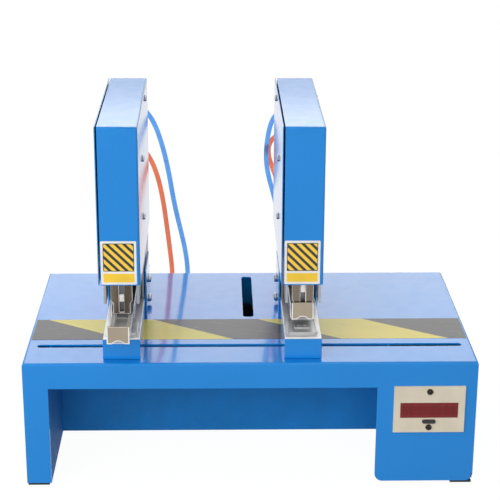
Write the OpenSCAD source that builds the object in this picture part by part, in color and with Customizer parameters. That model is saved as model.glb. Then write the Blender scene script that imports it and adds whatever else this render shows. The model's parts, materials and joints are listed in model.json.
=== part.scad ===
// Electro-pneumatic double-head stapling machine.
// Millimetres, +Z up, the operator stands on the -Y side.
// Table pieces are drawn about the table's centre at floor level.
// Head pieces are drawn about the clamp stud's axis at the foot's underside.

/* [Table] */
// Width of the table
table_w = 500; // [460:1:560]
// Depth of the table
table_d = 286; // [276:1:320]
// Height of the table top above the floor, rubber pads included
table_h = 148; // [136:1:180]
// Thickness of the table's sheet steel
sheet_t = 2; // [1.5:0.1:2.5]
// Outer radius of the folds along the top
bend_r = 3; // [2.6:0.1:5]
// Height of the front apron above the recess
apron_h = 30; // [24:1:40]
// Width of the left leg
left_leg_w = 27.5; // [20:0.5:40]
// Width of the right cabinet
cabinet_w = 110.5; // [100:0.5:116]
// Corner radius at the foot of the cabinet's front
cabinet_corner_r = 9; // [4:0.5:14]
// Depth of the recess, from the front face to its back wall
recess_depth = 131; // [110:1:140]
// Width of the flanges that the back panel is screwed to
flange_w = 12; // [10:1:18]
// Size of the blocks that take the bottom plate's screws
nut_block = 10; // [8:1:14]
// Thickness of the rubber pads
pad_t = 3; // [2.4:0.1:6]
// Width of a rubber pad
pad_w = 24; // [16:1:26]
// Length of a rubber pad
pad_len = 30; // [20:1:36]
// Distance of the pads from the table's outline
pad_inset = 1; // [0.5:0.5:3]

/* [Slots and tape] */
// Distance of the front slot's axis behind the front face
slot_inset = 50; // [46:1:56]
// Width of the front slot
slot_w = 8.5; // [8.4:0.1:10]
// Distance of the front slot's ends from the table's sides
slot_margin = 11.5; // [8:0.5:20]
// Width of the centre slot
centre_slot_w = 12.5; // [10:0.5:16]
// Length of the centre slot
centre_slot_len = 136; // [100:1:140]
// Corner radius of the centre slot
centre_slot_r = 4; // [2:0.5:5]
// Distance of the centre slot from the back face
centre_slot_back = 14; // [10:1:20]
// Distance of the hazard tape behind the front face
tape_inset = 68; // [64:1:72]
// Width of the hazard tape
tape_w = 60.5; // [50:0.5:64]
// Thickness of the hazard tape
tape_t = 0.2; // [0.1:0.05:0.4]

/* [Counter] */
// Width of the counter plate
counter_w = 79; // [74:0.5:90]
// Height of the counter plate
counter_h = 55.5; // [53:0.5:64]
// Thickness of the counter plate
counter_t = 2; // [1.5:0.1:3]
// Distance of the counter's centre from the table's right side
counter_edge = 52.5; // [48:0.5:58]
// Distance of the counter's centre below the table top
counter_drop = 56; // [52:0.5:64]
// Width of the display window
window_w = 64; // [56:0.5:66]
// Height of the display window
window_h = 18; // [14:0.5:19]
// Height of the window's centre from the counter's centre
window_dz = -1; // [-2:0.5:3]
// How far the window stands proud of the counter plate
window_proud = 0.3; // [0.1:0.1:1]
// Width of the reset button
reset_w = 14.7; // [10:0.1:18]
// Height of the reset button
reset_h = 4; // [3.4:0.1:4.4]
// Height of the reset button from the counter's centre
reset_dz = -14.4; // [-15:0.1:-13.8]
// How far the reset button stands proud of the counter plate
reset_proud = 1.8; // [1.6:0.1:3]
// Travel of the reset button
reset_travel = 1.5; // [1:0.1:1.6]
// Thickness of the flange that holds the reset button in
reset_flange_t = 1.2; // [0.8:0.1:2]
// Distance between the counter plate's two screws
counter_screw_pitch = 43; // [42:0.5:46]
// Depth of the counter module behind the front sheet
module_depth = 30; // [20:1:40]
// Rim of the counter module around its window
module_rim = 4; // [3:0.5:5]

/* [Inside the table] */
// Length of the valve manifold
manifold_w = 70; // [60:1:90]
// Depth of the valve manifold
manifold_d = 34; // [26:1:40]
// Height of the valve manifold
manifold_h = 18; // [12:1:24]
// Width of one solenoid valve
valve_w = 22; // [18:1:26]
// Height of one solenoid valve
valve_h = 30; // [24:1:40]
// Width of the control board
board_w = 110; // [90:1:120]
// Depth of the control board
board_d = 76; // [60:1:90]
// Thickness of the control board
board_t = 1.6; // [1.2:0.2:2.4]
// Height of the standoffs under the control board
standoff_h = 8; // [5:1:12]
// Height of the sockets and bulkheads above the floor
panel_z = 100; // [90:1:104]

/* [Heads] */
// Place of the left head across the table
left_head_x = -141.5; // [-150:0.5:-130]
// Place of the right head across the table
right_head_x = 57.5; // [50:0.5:70]
// Height of the foot
foot_h = 22.7; // [18:0.1:30]
// Thickness of the foot's sheet
foot_wall = 2; // [1.5:0.1:3]
// Length of the foot in front of the clamp stud
foot_nose = 38.5; // [34:0.5:44]
// Inset of the foot's sides from the box's sides
foot_inset = 1; // [0.5:0.1:1.4]
// Thickness of the steel bed plate
bed_t = 2; // [1.5:0.1:3]
// Width of the box about the foot's middle
box_w = 43; // [41:0.5:50]
// Depth of the box
box_d = 236; // [228:1:260]
// Height of the box
box_h = 177.4; // [165:0.1:200]
// Length of the box in front of the clamp stud
box_nose = 25; // [23:0.5:32]
// Height of the box's lower edge above the foot's underside
box_lift = 81.3; // [79:0.1:88]
// Thickness of the box's sheet
box_wall = 1.5; // [1:0.1:2]
// Outer radius of the box's folds
box_bend_r = 2.5; // [2.1:0.1:4]
// Thickness of the side cover
cover_t = 1.2; // [0.8:0.1:1.6]
// How far the side cover stands out past the box's width
cover_out = 3; // [0:0.1:4]
// Open seam between the side cover and the box
seam = 1.6; // [0.8:0.1:2]
// Thickness of the side brackets
bracket_t = 2; // [1.5:0.1:3]
// Height of the side brackets
bracket_h = 58.5; // [50:0.5:66]
// Depth of the side brackets
bracket_d = 71; // [50:1:90]
// Front edge of the side brackets behind the clamp stud
bracket_y = 82; // [78:1:90]

/* [Steel frame] */
// Thickness of the frame's plates
frame_t = 3; // [2.5:0.1:3.5]
// Gap between the frame and the box's right wall
frame_gap = 0.5; // [0.3:0.1:0.7]
// Front edge of the upright behind the clamp stud
column_y = 85; // [80:1:95]
// Depth of the cheeks beside the nose
cheek_d = 29; // [27:0.5:36]
// Length of the cheeks below the box
cheek_drop = 23.7; // [10:0.1:26]
// Gap between the frame's web and the back of the box
web_gap = 6.5; // [4:0.5:8]

/* [Stapling] */
// Width of the anvil
anvil_w = 33; // [30:0.5:38]
// Depth of the anvil
anvil_d = 42; // [36:0.5:50]
// Thickness of the anvil's floor
anvil_t = 1.8; // [1.2:0.1:2.6]
// Height of the anvil's rim above its floor
rim_h = 1.2; // [0.6:0.1:1.6]
// Width of the anvil's rim
rim_w = 2; // [1:0.1:3]
// Corner radius of the anvil
anvil_r = 5; // [4:0.5:7]
// Height of the throat that the paper goes into
throat = 7; // [6:0.1:9]
// Stroke of the ram
ram_stroke = 22; // [18:0.5:22.5]
// How far the left ram is lowered in the pose shown
left_ram_drop = 10.5; // [6:0.5:11]
// Width of the driver blade
blade_w = 12.4; // [10:0.1:13]
// Thickness of the driver blade
blade_t = 0.8; // [0.5:0.1:1]
// Length of the driver blade below the ram
blade_len = 27.5; // [26:0.5:29]
// Gap left between the blade and the anvil at the stroke's end
blade_stop = 0.5; // [0.4:0.1:1]
// Depth of the ram
ram_d = 19.4; // [18:0.1:22]
// Width of the ram
ram_w = 21; // [19:0.5:22]
// Height of the link pin above the ram's lower face
ram_link_h = 53; // [50:0.5:56]
// Width of the nose plate
nose_w = 24; // [22:0.5:26]
// Width of the nose plate's tip
nose_tip_w = 19; // [15:0.5:20]
// Thickness of the nose plate
nose_t = 3; // [2:0.1:3]
// Front face of the nose plate before the clamp stud
nose_y = 16; // [15.5:0.1:17]
// Width of the slot in the nose plate
nose_slot_w = 5.4; // [4.5:0.1:6.5]
// Height of the ram's guide key
key_h = 8.5; // [6:0.5:10]

/* [Lever] */
// Distance from the pivot to the ram's link pin
front_arm = 96; // [90:1:100]
// Height of the lever
lever_h = 18; // [16:0.5:20]
// Thickness of the lever
lever_t = 10; // [8:0.5:10.5]
// Diameter of the lever's hub
hub_d = 24; // [20:0.5:28]
// Width of the lever's hub
hub_w = 26; // [16:0.5:32]
// Diameter of the pivot pin
pivot_d = 10; // [8:0.1:12]
// Diameter of the link pins
link_d = 8; // [6:0.1:8.6]
// Play along the lever for the link pins
link_play = 1.2; // [1:0.1:1.6]

/* [Magazine] */
// Width of the magazine
mag_w = 26; // [25.4:0.2:28]
// Thickness of the magazine's sheet
mag_wall = 1.2; // [0.8:0.1:1.4]
// Height of the magazine
mag_h = 13.5; // [12:0.5:15]
// Front end of the magazine before the clamp stud
mag_nose = 5; // [3:0.5:8]
// Length of the magazine
mag_len = 115; // [112:1:118]
// Height of the drawer's rails
rail_h = 7; // [6:0.1:8]
// Clear width between the drawer's rails
rail_gap_w = 14; // [13.8:0.1:15]
// Length of the drawer's rails
rail_len = 100; // [94:1:104]
// Width of the pull tongue
tongue_w = 24; // [22:0.5:26]
// Height of the pull tongue
tongue_h = 19.6; // [17:0.1:24]
// Thickness of the pull tongue
tongue_t = 2; // [1.5:0.1:2.5]
// Width of the finger notch in the tongue's lower edge
notch_w = 13; // [8:0.5:18]
// Height of the finger notch
notch_h = 3.4; // [2:0.1:6]
// Travel of the drawer
drawer_travel = 68; // [60:1:70]
// Length of the staple pusher
pusher_len = 12.5; // [10:0.5:16]
// Height of the staple pusher
pusher_h = 1.8; // [1.6:0.1:2.2]
// Thickness of the drawer's floor
drawer_floor_t = 0.8; // [0.6:0.1:1]
// Travel of the staple pusher
pusher_travel = 30; // [20:1:40]

/* [Cylinder] */
// Bore of the air cylinder
bore_d = 25; // [20:0.5:25.5]
// Outer diameter of the cylinder's barrel
barrel_d = 29; // [27:0.5:30]
// Height of the cylinder's end caps
cap_h = 22; // [20:0.5:24]
// Length of the barrel between the caps
barrel_len = 27; // [26:0.5:30]
// Depth of the bore inside each cap
cap_bore = 4; // [2.5:0.5:6]
// Height of the piston
piston_h = 8; // [6:0.5:9]
// Diameter of the piston rod
rod_d = 10; // [8:0.1:12]
// Room above the cylinder inside the box
cyl_headroom = 30.5; // [24:0.5:34]
// Thickness of the shelf that carries the cylinder
shelf_t = 3; // [2:0.5:4]

/* [Clamp] */
// Diameter of the clamp stud
stud_d = 8; // [6:0.1:8]
// Diameter of the clamp knob
knob_d = 28; // [24:1:29]
// Height of the clamp knob
knob_h = 17; // [12:0.5:20]
// Length of the stud below the knob
stud_tail = 2; // [1:0.5:4]
// Width of the block that holds the stud in the foot
stud_block_w = 30; // [20:1:34]
// Depth of the block that holds the stud in the foot
stud_block_d = 24; // [16:1:30]

/* [Fittings and hoses] */
// Outer diameter of the air hoses
hose_d = 6; // [5:0.5:6.5]
// Diameter of a push-in fitting
fitting_d = 11; // [10:0.5:12]
// Length of a fitting outside the wall it passes
fitting_len = 20; // [16:0.5:24]
// Diameter of a fitting's thread
thread_d = 9.5; // [8:0.1:9.8]
// Width of a fitting's hexagon over its corners
hex_d = 14; // [13:0.5:16]
// Thickness of a fitting's hexagon
hex_t = 5; // [3:0.5:6]
// Bore of the air inlet, for an 8 mm supply hose
inlet_bore = 8.2; // [8.15:0.05:8.4]
// Depth of the air inlet's bore
inlet_depth = 16; // [12:0.5:18]

/* [Fasteners] */
// Diameter of the bracket screws
big_screw_d = 5.5; // [4:0.1:6]
// Head diameter of the bracket screws
big_head_d = 10; // [8:0.5:12]
// Head height of the bracket screws
big_head_h = 3.5; // [2:0.1:4]
// Diameter of the cover and panel screws
screw_d = 4; // [3:0.1:4.4]
// Head diameter of the cover and panel screws
head_d = 8; // [6:0.5:9]
// Head height of the cover and panel screws
head_h = 2.2; // [1.5:0.1:2.2]

/* [Clearances] */
// Gap between pieces that slide past each other
run_gap = 0.3; // [0.2:0.05:0.4]
// Radial gap between a pin and its bore
pin_gap = 0.05; // [0.02:0.01:0.1]
// Gap around a piece that sits in a hole
fit_gap = 0.1; // [0.05:0.05:0.2]
// Gap between the heads and the tape they slide over
slide_gap = 0.1; // [0.05:0.05:0.3]

/* [Hidden] */
$fn = 48;
cut = 1;

// Colours
blue = "#2A86D1";
steel = "#B9BCBE";
dark_steel = "#8B8E90";
black = "#222426";
cream = "#E8E2CF";

// Table
front_y = -table_d / 2;
back_y = table_d / 2;
under_z = table_h - sheet_t;
recess_x0 = -table_w / 2 + left_leg_w;
recess_x1 = table_w / 2 - cabinet_w;
recess_y = front_y + recess_depth;
slot_y = front_y + slot_inset;
floor_z = pad_t + sheet_t;
inner_x = table_w / 2 - sheet_t;
panel_y = back_y - sheet_t;
flange_x = inner_x - flange_w / 2;
flange_low = 15;
flange_high = 25;
flange_zs = [floor_z + flange_low, under_z - flange_high];
nut_x = inner_x - nut_block / 2;
nut_ys = [front_y + pad_inset + pad_len + head_d, back_y - pad_inset - pad_len - head_d];

// Counter
counter_x = table_w / 2 - counter_edge;
counter_z = table_h - counter_drop;
window_z = counter_z + window_dz;
reset_z = counter_z + reset_dz;
module_gap = 1;
wall_room = 4;
liner_x = counter_x - window_w / 2 - module_rim - wall_room;
reset_pocket = run_gap + reset_flange_t + reset_travel + run_gap;
reset_lip_w = 2;
reset_lip_h = 1;
pocket_low = 3;
pocket_high = 1.8;
counter_screw_d = 3;
counter_head_d = 7;
counter_head_h = 2;

// Inside the table
bay_y = (recess_y + sheet_t + panel_y) / 2;
valve_x = -20;
board_reach = 40;
board_x = recess_x1 - board_w / 2 + board_reach;
inlet_edge = 55;
inlet_x = table_w / 2 - inlet_edge;
inlet_rise = 50;
inlet_z = floor_z + inlet_rise;
socket_edge = 110;
socket_x = table_w / 2 - socket_edge;
air_x = 0;
left_blue_dx = 65.5;
left_red_dx = 45.5;
right_blue_dx = -3.5;
right_red_dx = 12.5;
bulkhead_xs = [
    left_head_x + left_blue_dx, left_head_x + left_red_dx,
    right_head_x + right_blue_dx, right_head_x + right_red_dx
];
air_thread_d = 13;
air_hex_d = 19;
foot_socket_d = 16;
foot_socket_flange_t = 3;
foot_socket_nose = 8;
foot_socket_tail = 12;
foot_socket_wall = 1.5;
foot_pin_d = 2;
foot_pin_r = 3.5;
fitting_tail = 10;
collar_t = 3;
screw_tail = 4;
valve_gap = 8;
coil_h = 26;
stub_len = 14;
standoff_d = 7;
standoff_inset = 6;
supply_inset = 8;
supply_size = 38;
supply_h = 32;
relay_pitch = 16;
relay_w = 13;
relay_h = 16;
terminal_d = 10;
terminal_h = 11;

// Power inlet and its switch
inlet_w = 50;
inlet_low = 15;
inlet_high = 37;
inlet_flange_t = 3;
inlet_rim = 3;
inlet_pin_pitch = 7;
inlet_pin_w = 2;
inlet_pin_h = 4;
inlet_body_w = 29;
inlet_body_d = 24;
socket_w = 24;
socket_h = 16.5;
socket_depth = 18;
switch_rise = 24;
switch_z = inlet_z + switch_rise;
switch_w = 20;
switch_h = 13;
switch_angle = 8;
switch_pin_d = 3;
switch_pin_len = 1.7;
switch_end = switch_w / 2 + switch_pin_len;
switch_proud = 1.6;
switch_dish = 1.4;
switch_pocket = 6;
switch_axis_out = 0.5;
switch_axis_y = back_y + switch_axis_out;

// Head, about the clamp stud
head_z = table_h + tape_t + slide_gap;
box_x = box_w / 2;
box_y0 = -box_nose;
box_y1 = box_y0 + box_d;
box_top = box_lift + box_h;
cover_side = box_x + cover_out;
cover_x = cover_t - cover_side;
shell_x = cover_x + seam;
foot_x = box_x - foot_inset;
frame_x = box_x - box_wall - frame_gap;
frame_in = frame_x - frame_t;
web_y1 = box_y1 - box_wall - web_gap;
web_y0 = web_y1 - frame_t;
frame_headroom = 1;
arm_rise = 4;
frame_top = box_top - box_wall - frame_headroom;
foot_y0 = -foot_nose;
foot_tail = 2;
foot_y1 = web_y1 + foot_tail;
bed_z = foot_h + bed_t;
cheek_lead = 3;
frame_y0 = -nose_y - cheek_lead;

// Stapling line, with the ram up
anvil_z = bed_z + anvil_t + rim_h;
mag_z = anvil_z + throat;
rail_z = mag_z + mag_wall + run_gap;
rail_top = rail_z + rail_h;
nose_gap = 1.5;
nose_z = rail_top + nose_gap;
blade_tip = anvil_z + blade_stop + ram_stroke;
ram_z = blade_tip + blade_len;
link_z = ram_z + ram_link_h;
pivot_z = link_z - ram_stroke / 2;
nose_back = -nose_y + nose_t;
ram_y0 = nose_back + run_gap;
ram_y1 = ram_y0 + ram_d;
link_y = ram_y0 + ram_d / 2;
blade_back = 1.4;
blade_y0 = ram_y0 + blade_back;
blade_y1 = blade_y0 + blade_t;
pivot_y = link_y + front_arm;
ram_x = ram_w / 2;
ear_play = 0.5;
ear_gap = lever_t + 2 * ear_play;
holder_h = 11;
key_z = ram_z - key_h;
slot_low = key_z - ram_stroke - run_gap;
slot_spare = 2;
slot_high = key_z + key_h + slot_spare;
guide_h = 30;
guide_lip = 2.6;
nose_tip_h = 12;
nose_taper = 3;
guide_back_t = 3;
die_rim = 4.5;
ear_rise = 8;
ear_t = 4;
clevis_d = 14;
crown_t = 6;
knob_neck = 3;

// Cylinder at the lever's tail
hex_room = 7;
cap_room = 0.5;
cap_w = 2 * (frame_in - cap_room);
cyl_y = web_y0 - hex_room - cap_w / 2;
rear_arm = cyl_y - pivot_y;
cyl_top = box_top - box_wall - cyl_headroom;
cyl_z = cyl_top - 2 * cap_h - barrel_len;
bore_z0 = cyl_z + cap_h - cap_bore;
bore_z1 = cyl_top - cap_h + cap_bore;
port_zs = [cyl_z + cap_h / 2, cyl_top - cap_h / 2];
port_depth = 8;
rod_stroke = ram_stroke * rear_arm / front_arm;
tail_z = pivot_z - rod_stroke / 2;
fitting_end = box_y1 + fitting_len;
fitting_room = 1;
hole_d = fitting_d + 2 * fitting_room;

// Drawer, pushed in
tongue_gap = 1;
tongue_y = -nose_y - tongue_gap - tongue_t;
tongue_lift = 2.1;
tongue_z = rail_z + tongue_lift;
notch_r = (notch_w * notch_w / 4 + notch_h * notch_h) / (2 * notch_h);
finger_hole_d = 7;
block_gap = 0.7;
block_y1 = blade_y0 - block_gap;
rail_x = mag_w / 2 - mag_wall - run_gap;
rail_in = rail_gap_w / 2;
rail_end = block_y1 + rail_len;
cross_t = 4;
pusher_z = rail_z + drawer_floor_t + run_gap;
groove_d = 1.5;
groove_inset = 0.1;
groove_z0 = pusher_z + groove_inset;
groove_z1 = pusher_z + pusher_h - groove_inset;
pusher_gap = 1;
pusher_y = blade_y1 + pusher_gap;
wing_lead = 2;
wing_tail = 1;
wing_y0 = pusher_y + wing_lead;
wing_y1 = pusher_y + pusher_len - wing_tail;

// Clamp
knob_top = -tape_t - slide_gap - sheet_t - run_gap;
knob_z = knob_top - knob_h;
knob_flutes = 6;
flute_d = 8;
knob_neck_wall = 8;

// Screws of a head: the brackets' pairs and the box's three on either side
bracket_screw_back = 49;
bracket_screw_drop = 3.7;
bracket_boss_rise = 7.2;
bracket_screw_y = bracket_y + bracket_screw_back;
bracket_screw_zs = [foot_h / 2 - bracket_screw_drop, bed_z + bracket_boss_rise];
box_screw_shares = [[0.733, 0.056], [0.394, 0.338], [0.394, 0.722]];
box_screws = [for (s = box_screw_shares) [box_y0 + s[0] * box_d, box_top - s[1] * box_h]];

// Left and right poses: [drawer out, ram lowered]
left_pose = [drawer_travel, left_ram_drop];
right_pose = [0, 0];

// The part's origin lies under the middle of its depth
depth_y0 = slot_y + tongue_y - drawer_travel;
depth_y1 = back_y + fitting_len;
frame_y = -(depth_y0 + depth_y1) / 2;

// Hoses: how far each bows from the straight line between its fittings, at even steps
hose_sides = 10;
hose_rings = 22;
left_blue_bow = [
    [0, 0, 0], [0.6, 13.9, 11.8], [6.7, 23.9, 18.9], [12.6, 27.7, 19.9], [16.7, 24.2, 18.9],
    [18.9, 16.3, 18.3], [20.2, 7.7, 17.7], [20.8, -0.2, 16.5], [20.7, -5.6, 14.3],
    [20.1, -7.8, 11.4], [19.4, -6.9, 8.6], [18.7, -3.9, 6.2], [18.1, 0.4, 4.3], [17.5, 5.5, 2.6],
    [16.7, 11, 1.2], [15.8, 16.8, -0.1], [14.4, 22.6, -1.7], [12.6, 27.7, -3.4], [10.2, 30.4, -6],
    [7, 27.3, -8.8], [3.4, 16.1, -8.2], [0, 0, 0]
];
left_red_bow = [
    [0, 0, 0], [0.2, 11.2, 9.2], [3.8, 20.4, 15.3], [8.5, 25.9, 17.3], [12.8, 26.6, 17],
    [15.9, 23, 15.9], [17.7, 17.9, 14.7], [18.6, 13.2, 13.1], [18.9, 10.3, 11], [18.6, 9.4, 8.6],
    [17.8, 10.1, 6.4], [16.9, 12, 4.3], [15.8, 14.6, 2.5], [14.6, 17.8, 0.9], [13.4, 21.5, -0.6],
    [12.1, 25.3, -2], [10.7, 28.9, -3.6], [9.2, 31.1, -5.6], [7.3, 30.3, -8], [5, 24.2, -9.4],
    [2.4, 13.5, -7.3], [0, 0, 0]
];
right_blue_bow = [
    [0, 0, 0], [-0.6, 13.5, 9.5], [-7.2, 25, 17.8], [-17, 32.7, 23.7], [-24.1, 35.9, 24],
    [-27.9, 36.2, 22.1], [-29.8, 35.4, 19.6], [-30.3, 34.1, 17.1], [-29.3, 32.8, 14.6],
    [-26.3, 31.7, 12.3], [-22.2, 30.5, 10.3], [-18.3, 28.9, 8.2], [-15.1, 27.3, 6],
    [-12.3, 26.1, 3.6], [-9.9, 25.8, 1.3], [-7.7, 26.7, -0.9], [-5.6, 28.6, -3.1],
    [-3.9, 30.3, -5.3], [-2.2, 30.7, -7.6], [-0.9, 26.5, -9.7], [-0.3, 15.5, -8.4], [0, 0, 0]
];
right_red_bow = [
    [0, 0, 0], [-2.3, 12.5, 12.2], [-8.3, 23.6, 26.3], [-17, 33.6, 36.4], [-25.7, 41.2, 39.8],
    [-31.1, 45.1, 38.1], [-31.2, 44.9, 34.5], [-27.5, 41.7, 31.6], [-23.6, 38.4, 28.8],
    [-21.1, 36.4, 25.4], [-20.3, 35.7, 21.8], [-20.1, 35.7, 18.1], [-19.7, 35.9, 14.5],
    [-18.1, 35.7, 10.9], [-14.5, 34.6, 7.8], [-9.5, 33.1, 5.3], [-4.5, 31.9, 2.7],
    [-1.2, 31.5, -0.5], [0.2, 30.5, -4], [0.5, 25.5, -7.2], [0.4, 14.6, -6.6], [0, 0, 0]
];

function route(bow, head_x, port, bulkhead_x) =
    let (n = len(bow) - 1, a = [head_x, slot_y + fitting_end + fit_gap, head_z + port],
         b = [bulkhead_x, back_y + fitting_len + fit_gap, panel_z])
    [for (i = [0 : n]) a + (b - a) * i / n + bow[i]];

// Curve through a route's points and its direction, for u from 0 to 1; both ends lie along Y
function clamp_index(p, i) = p[min(max(i, 0), len(p) - 1)];
function curve_at(p, u) =
    let (s = min(u * (len(p) - 1), len(p) - 1.000001), i = floor(s), t = s - i,
         a = clamp_index(p, i - 1), b = p[i], c = p[i + 1], d = clamp_index(p, i + 2))
    0.5 * (2 * b + (c - a) * t + (2 * a - 5 * b + 4 * c - d) * t * t + (3 * b - a - 3 * c + d) * t * t * t);
function unit(v) = v / norm(v);
function curve_dir(p, u) =
    u == 0 ? [0, 1, 0] :
    u == 1 ? [0, -1, 0] :
    unit(curve_at(p, u + 0.002) - curve_at(p, u - 0.002));
function ring_at(c, dir, r) =
    let (m = unit(cross(dir, [1, 0, 0])), n = cross(dir, m))
    [for (k = [0 : hose_sides - 1])
        c + r * (m * cos(360 * k / hose_sides) + n * sin(360 * k / hose_sides))];

// Box between two corners
module slab(x0, x1, y0, y1, z0, z1) {
    translate([x0, y0, z0]) cube([x1 - x0, y1 - y0, z1 - z0]);
}

// Extrusions of a flat shape along X and along Y
module along_x(x0, x1) {
    translate([x0, 0, 0]) rotate([90, 0, 90]) linear_extrude(x1 - x0) children();
}
module along_y(y0, y1) {
    translate([0, y1, 0]) rotate([90, 0, 0]) linear_extrude(y1 - y0) children();
}

// Round bars along X, Y and Z, from one end to the other
module bar_x(x0, x1, y, z, d) {
    translate([x0, y, z]) rotate([0, 90, 0]) cylinder(d = d, h = x1 - x0);
}
module bar_y(x, y0, y1, z, d, sides = $fn) {
    translate([x, y1, z]) rotate([90, 0, 0]) cylinder(d = d, h = y1 - y0, $fn = sides);
}
module bar_z(x, y, z0, z1, d) {
    translate([x, y, z0]) cylinder(d = d, h = z1 - z0);
}

// Flat shapes
module stadium(w, h) {
    square([w - h, h], center = true);
    for (s = [-1, 1]) translate([s * (w - h) / 2, 0]) circle(d = h);
}
module rounded(w, h, r) {
    square([w - 2 * r, h], center = true);
    square([w, h - 2 * r], center = true);
    for (x = [-1, 1], y = [-1, 1]) translate([x * (w / 2 - r), y * (h / 2 - r)]) circle(r);
}
module tombstone(x0, x1, y0, y1, r, left_round, right_round) {
    translate([x0, y0]) square([x1 - x0, y1 - y0 - r]);
    translate([left_round ? x0 + r : x0, y0])
        square([x1 - x0 - (left_round ? r : 0) - (right_round ? r : 0), y1 - y0]);
    if (left_round) translate([x0 + r, y1 - r]) circle(r);
    if (right_round) translate([x1 - r, y1 - r]) circle(r);
}

// Screw along +X whose head's outer face is at x
module screw_x(x, y, z, d, length, hd, hh) {
    bar_x(x - hh - length, x - hh, y, z, d);
    bar_x(x - hh, x, y, z, hd);
}

// Table

module table_form(inset) {
    r = max(bend_r - inset, 0.3);
    intersection() {
        along_y(front_y + inset, back_y + inset)
            tombstone(inset - table_w / 2, table_w / 2 - inset, pad_t - inset, table_h - inset, r,
                      true, true);
        along_x(-table_w / 2, table_w / 2)
            tombstone(front_y + inset, back_y + inset, pad_t - inset, table_h - inset, r, true, false);
    }
}

module cabinet_corner(x, turn) {
    translate([x, front_y + sheet_t + cut, pad_t]) rotate([90, 0, 0]) linear_extrude(sheet_t + 2 * cut)
        mirror([turn, 0]) difference() {
            translate([-cut, -cut]) square(cabinet_corner_r + cut);
            translate([cabinet_corner_r, cabinet_corner_r]) circle(cabinet_corner_r);
        }
}

module side_corner() {
    along_x(inner_x - cut, table_w / 2 + cut) translate([front_y, pad_t]) difference() {
        translate([-cut, -cut]) square(cabinet_corner_r + cut);
        translate([cabinet_corner_r, cabinet_corner_r]) circle(cabinet_corner_r);
    }
}

module table_shell() {
    color(blue) difference() {
        union() {
            difference() {
                table_form(0);
                table_form(sheet_t);
            }
            for (s = [-1, 1]) {
                slab(min(s * inner_x, s * (inner_x - flange_w)), max(s * inner_x, s * (inner_x - flange_w)),
                     panel_y - sheet_t, panel_y, floor_z, under_z);
                for (y = nut_ys)
                    slab(s * nut_x - nut_block / 2, s * nut_x + nut_block / 2,
                         y - nut_block / 2, y + nut_block / 2, floor_z, floor_z + nut_block);
            }
        }
        slab(recess_x0, recess_x1, front_y - cut, front_y + sheet_t + cut, pad_t - cut, table_h - apron_h);
        cabinet_corner(recess_x1, 0);
        cabinet_corner(table_w / 2, 1);
        side_corner();
        translate([0, slot_y, under_z - cut]) linear_extrude(sheet_t + 2 * cut)
            stadium(table_w - 2 * slot_margin, slot_w);
        translate([0, back_y - centre_slot_back - centre_slot_len / 2, under_z - cut])
            linear_extrude(sheet_t + 2 * cut)
            rounded(centre_slot_w, centre_slot_len, centre_slot_r);
        translate([counter_x, 0, window_z]) along_y(front_y - cut, front_y + sheet_t + cut)
            square([window_w + 2 * module_gap, window_h + 2 * module_gap], center = true);
        translate([counter_x, 0, reset_z]) along_y(front_y - cut, front_y + sheet_t + cut)
            stadium(reset_w + 2 * run_gap, reset_h + 2 * run_gap);
        counter_screw_places()
            bar_y(0, front_y - cut, front_y + sheet_t + cut, 0, counter_screw_d + 2 * fit_gap);
        back_screw_places() bar_y(0, panel_y - sheet_t - cut, panel_y + cut, 0, screw_d + 2 * fit_gap);
        bottom_screw_places() bar_z(0, 0, floor_z - cut, floor_z + nut_block + cut, screw_d + 2 * fit_gap);
    }
}

module counter_screw_places() {
    for (s = [-1, 1]) translate([counter_x, 0, counter_z + s * counter_screw_pitch / 2]) children();
}
module back_screw_places() {
    for (s = [-1, 1], z = flange_zs) translate([s * flange_x, 0, z]) children();
}
module bottom_screw_places() {
    for (s = [-1, 1], y = nut_ys) translate([s * nut_x, y, 0]) children();
}

module recess_liner() {
    color(blue) {
        slab(recess_x0 - sheet_t, recess_x0, front_y + sheet_t, recess_y + sheet_t, pad_t, under_z);
        slab(liner_x - sheet_t, liner_x, front_y + sheet_t, recess_y + sheet_t, pad_t, under_z);
        slab(recess_x0 - sheet_t, liner_x, recess_y, recess_y + sheet_t, pad_t, under_z);
    }
}

module back_panel() {
    color(blue) difference() {
        slab(-inner_x, inner_x, panel_y, back_y, floor_z, under_z);
        back_screw_places() bar_y(0, panel_y - cut, back_y + cut, 0, screw_d + 2 * fit_gap);
        for (x = bulkhead_xs) bar_y(x, panel_y - cut, back_y + cut, panel_z, thread_d + 2 * fit_gap);
        bar_y(air_x, panel_y - cut, back_y + cut, panel_z, air_thread_d + 2 * fit_gap);
        bar_y(socket_x, panel_y - cut, back_y + cut, panel_z, foot_socket_d + 2 * fit_gap);
        slab(inlet_x - inlet_body_w / 2 - fit_gap, inlet_x + inlet_body_w / 2 + fit_gap,
             panel_y - cut, back_y + cut,
             inlet_z - inlet_low + inlet_rim - fit_gap, inlet_z + inlet_high - inlet_rim + fit_gap);
    }
}

module bottom_plate() {
    color(blue) difference() {
        slab(-inner_x, inner_x, front_y + sheet_t, back_y, pad_t, floor_z);
        slab(recess_x0 - sheet_t, liner_x, front_y, recess_y + sheet_t,
             pad_t - cut, floor_z + cut);
        bottom_screw_places() bar_z(0, 0, pad_t - cut, floor_z + cut, screw_d + 2 * fit_gap);
    }
}

module rubber_feet() {
    x0 = table_w / 2 - pad_inset - pad_w;
    y0 = table_d / 2 - pad_inset - pad_len;
    color(black) for (sx = [-1, 1], sy = [-1, 1])
        translate([sx * (x0 + pad_w / 2), sy * (y0 + pad_len / 2), pad_t / 2])
            cube([pad_w, pad_len, pad_t], center = true);
}

module hazard_tape() {
    color("#D8C84A") slab(-table_w / 2 + bend_r, table_w / 2 - bend_r, front_y + tape_inset,
        front_y + tape_inset + tape_w, table_h, table_h + tape_t);
}

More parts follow.
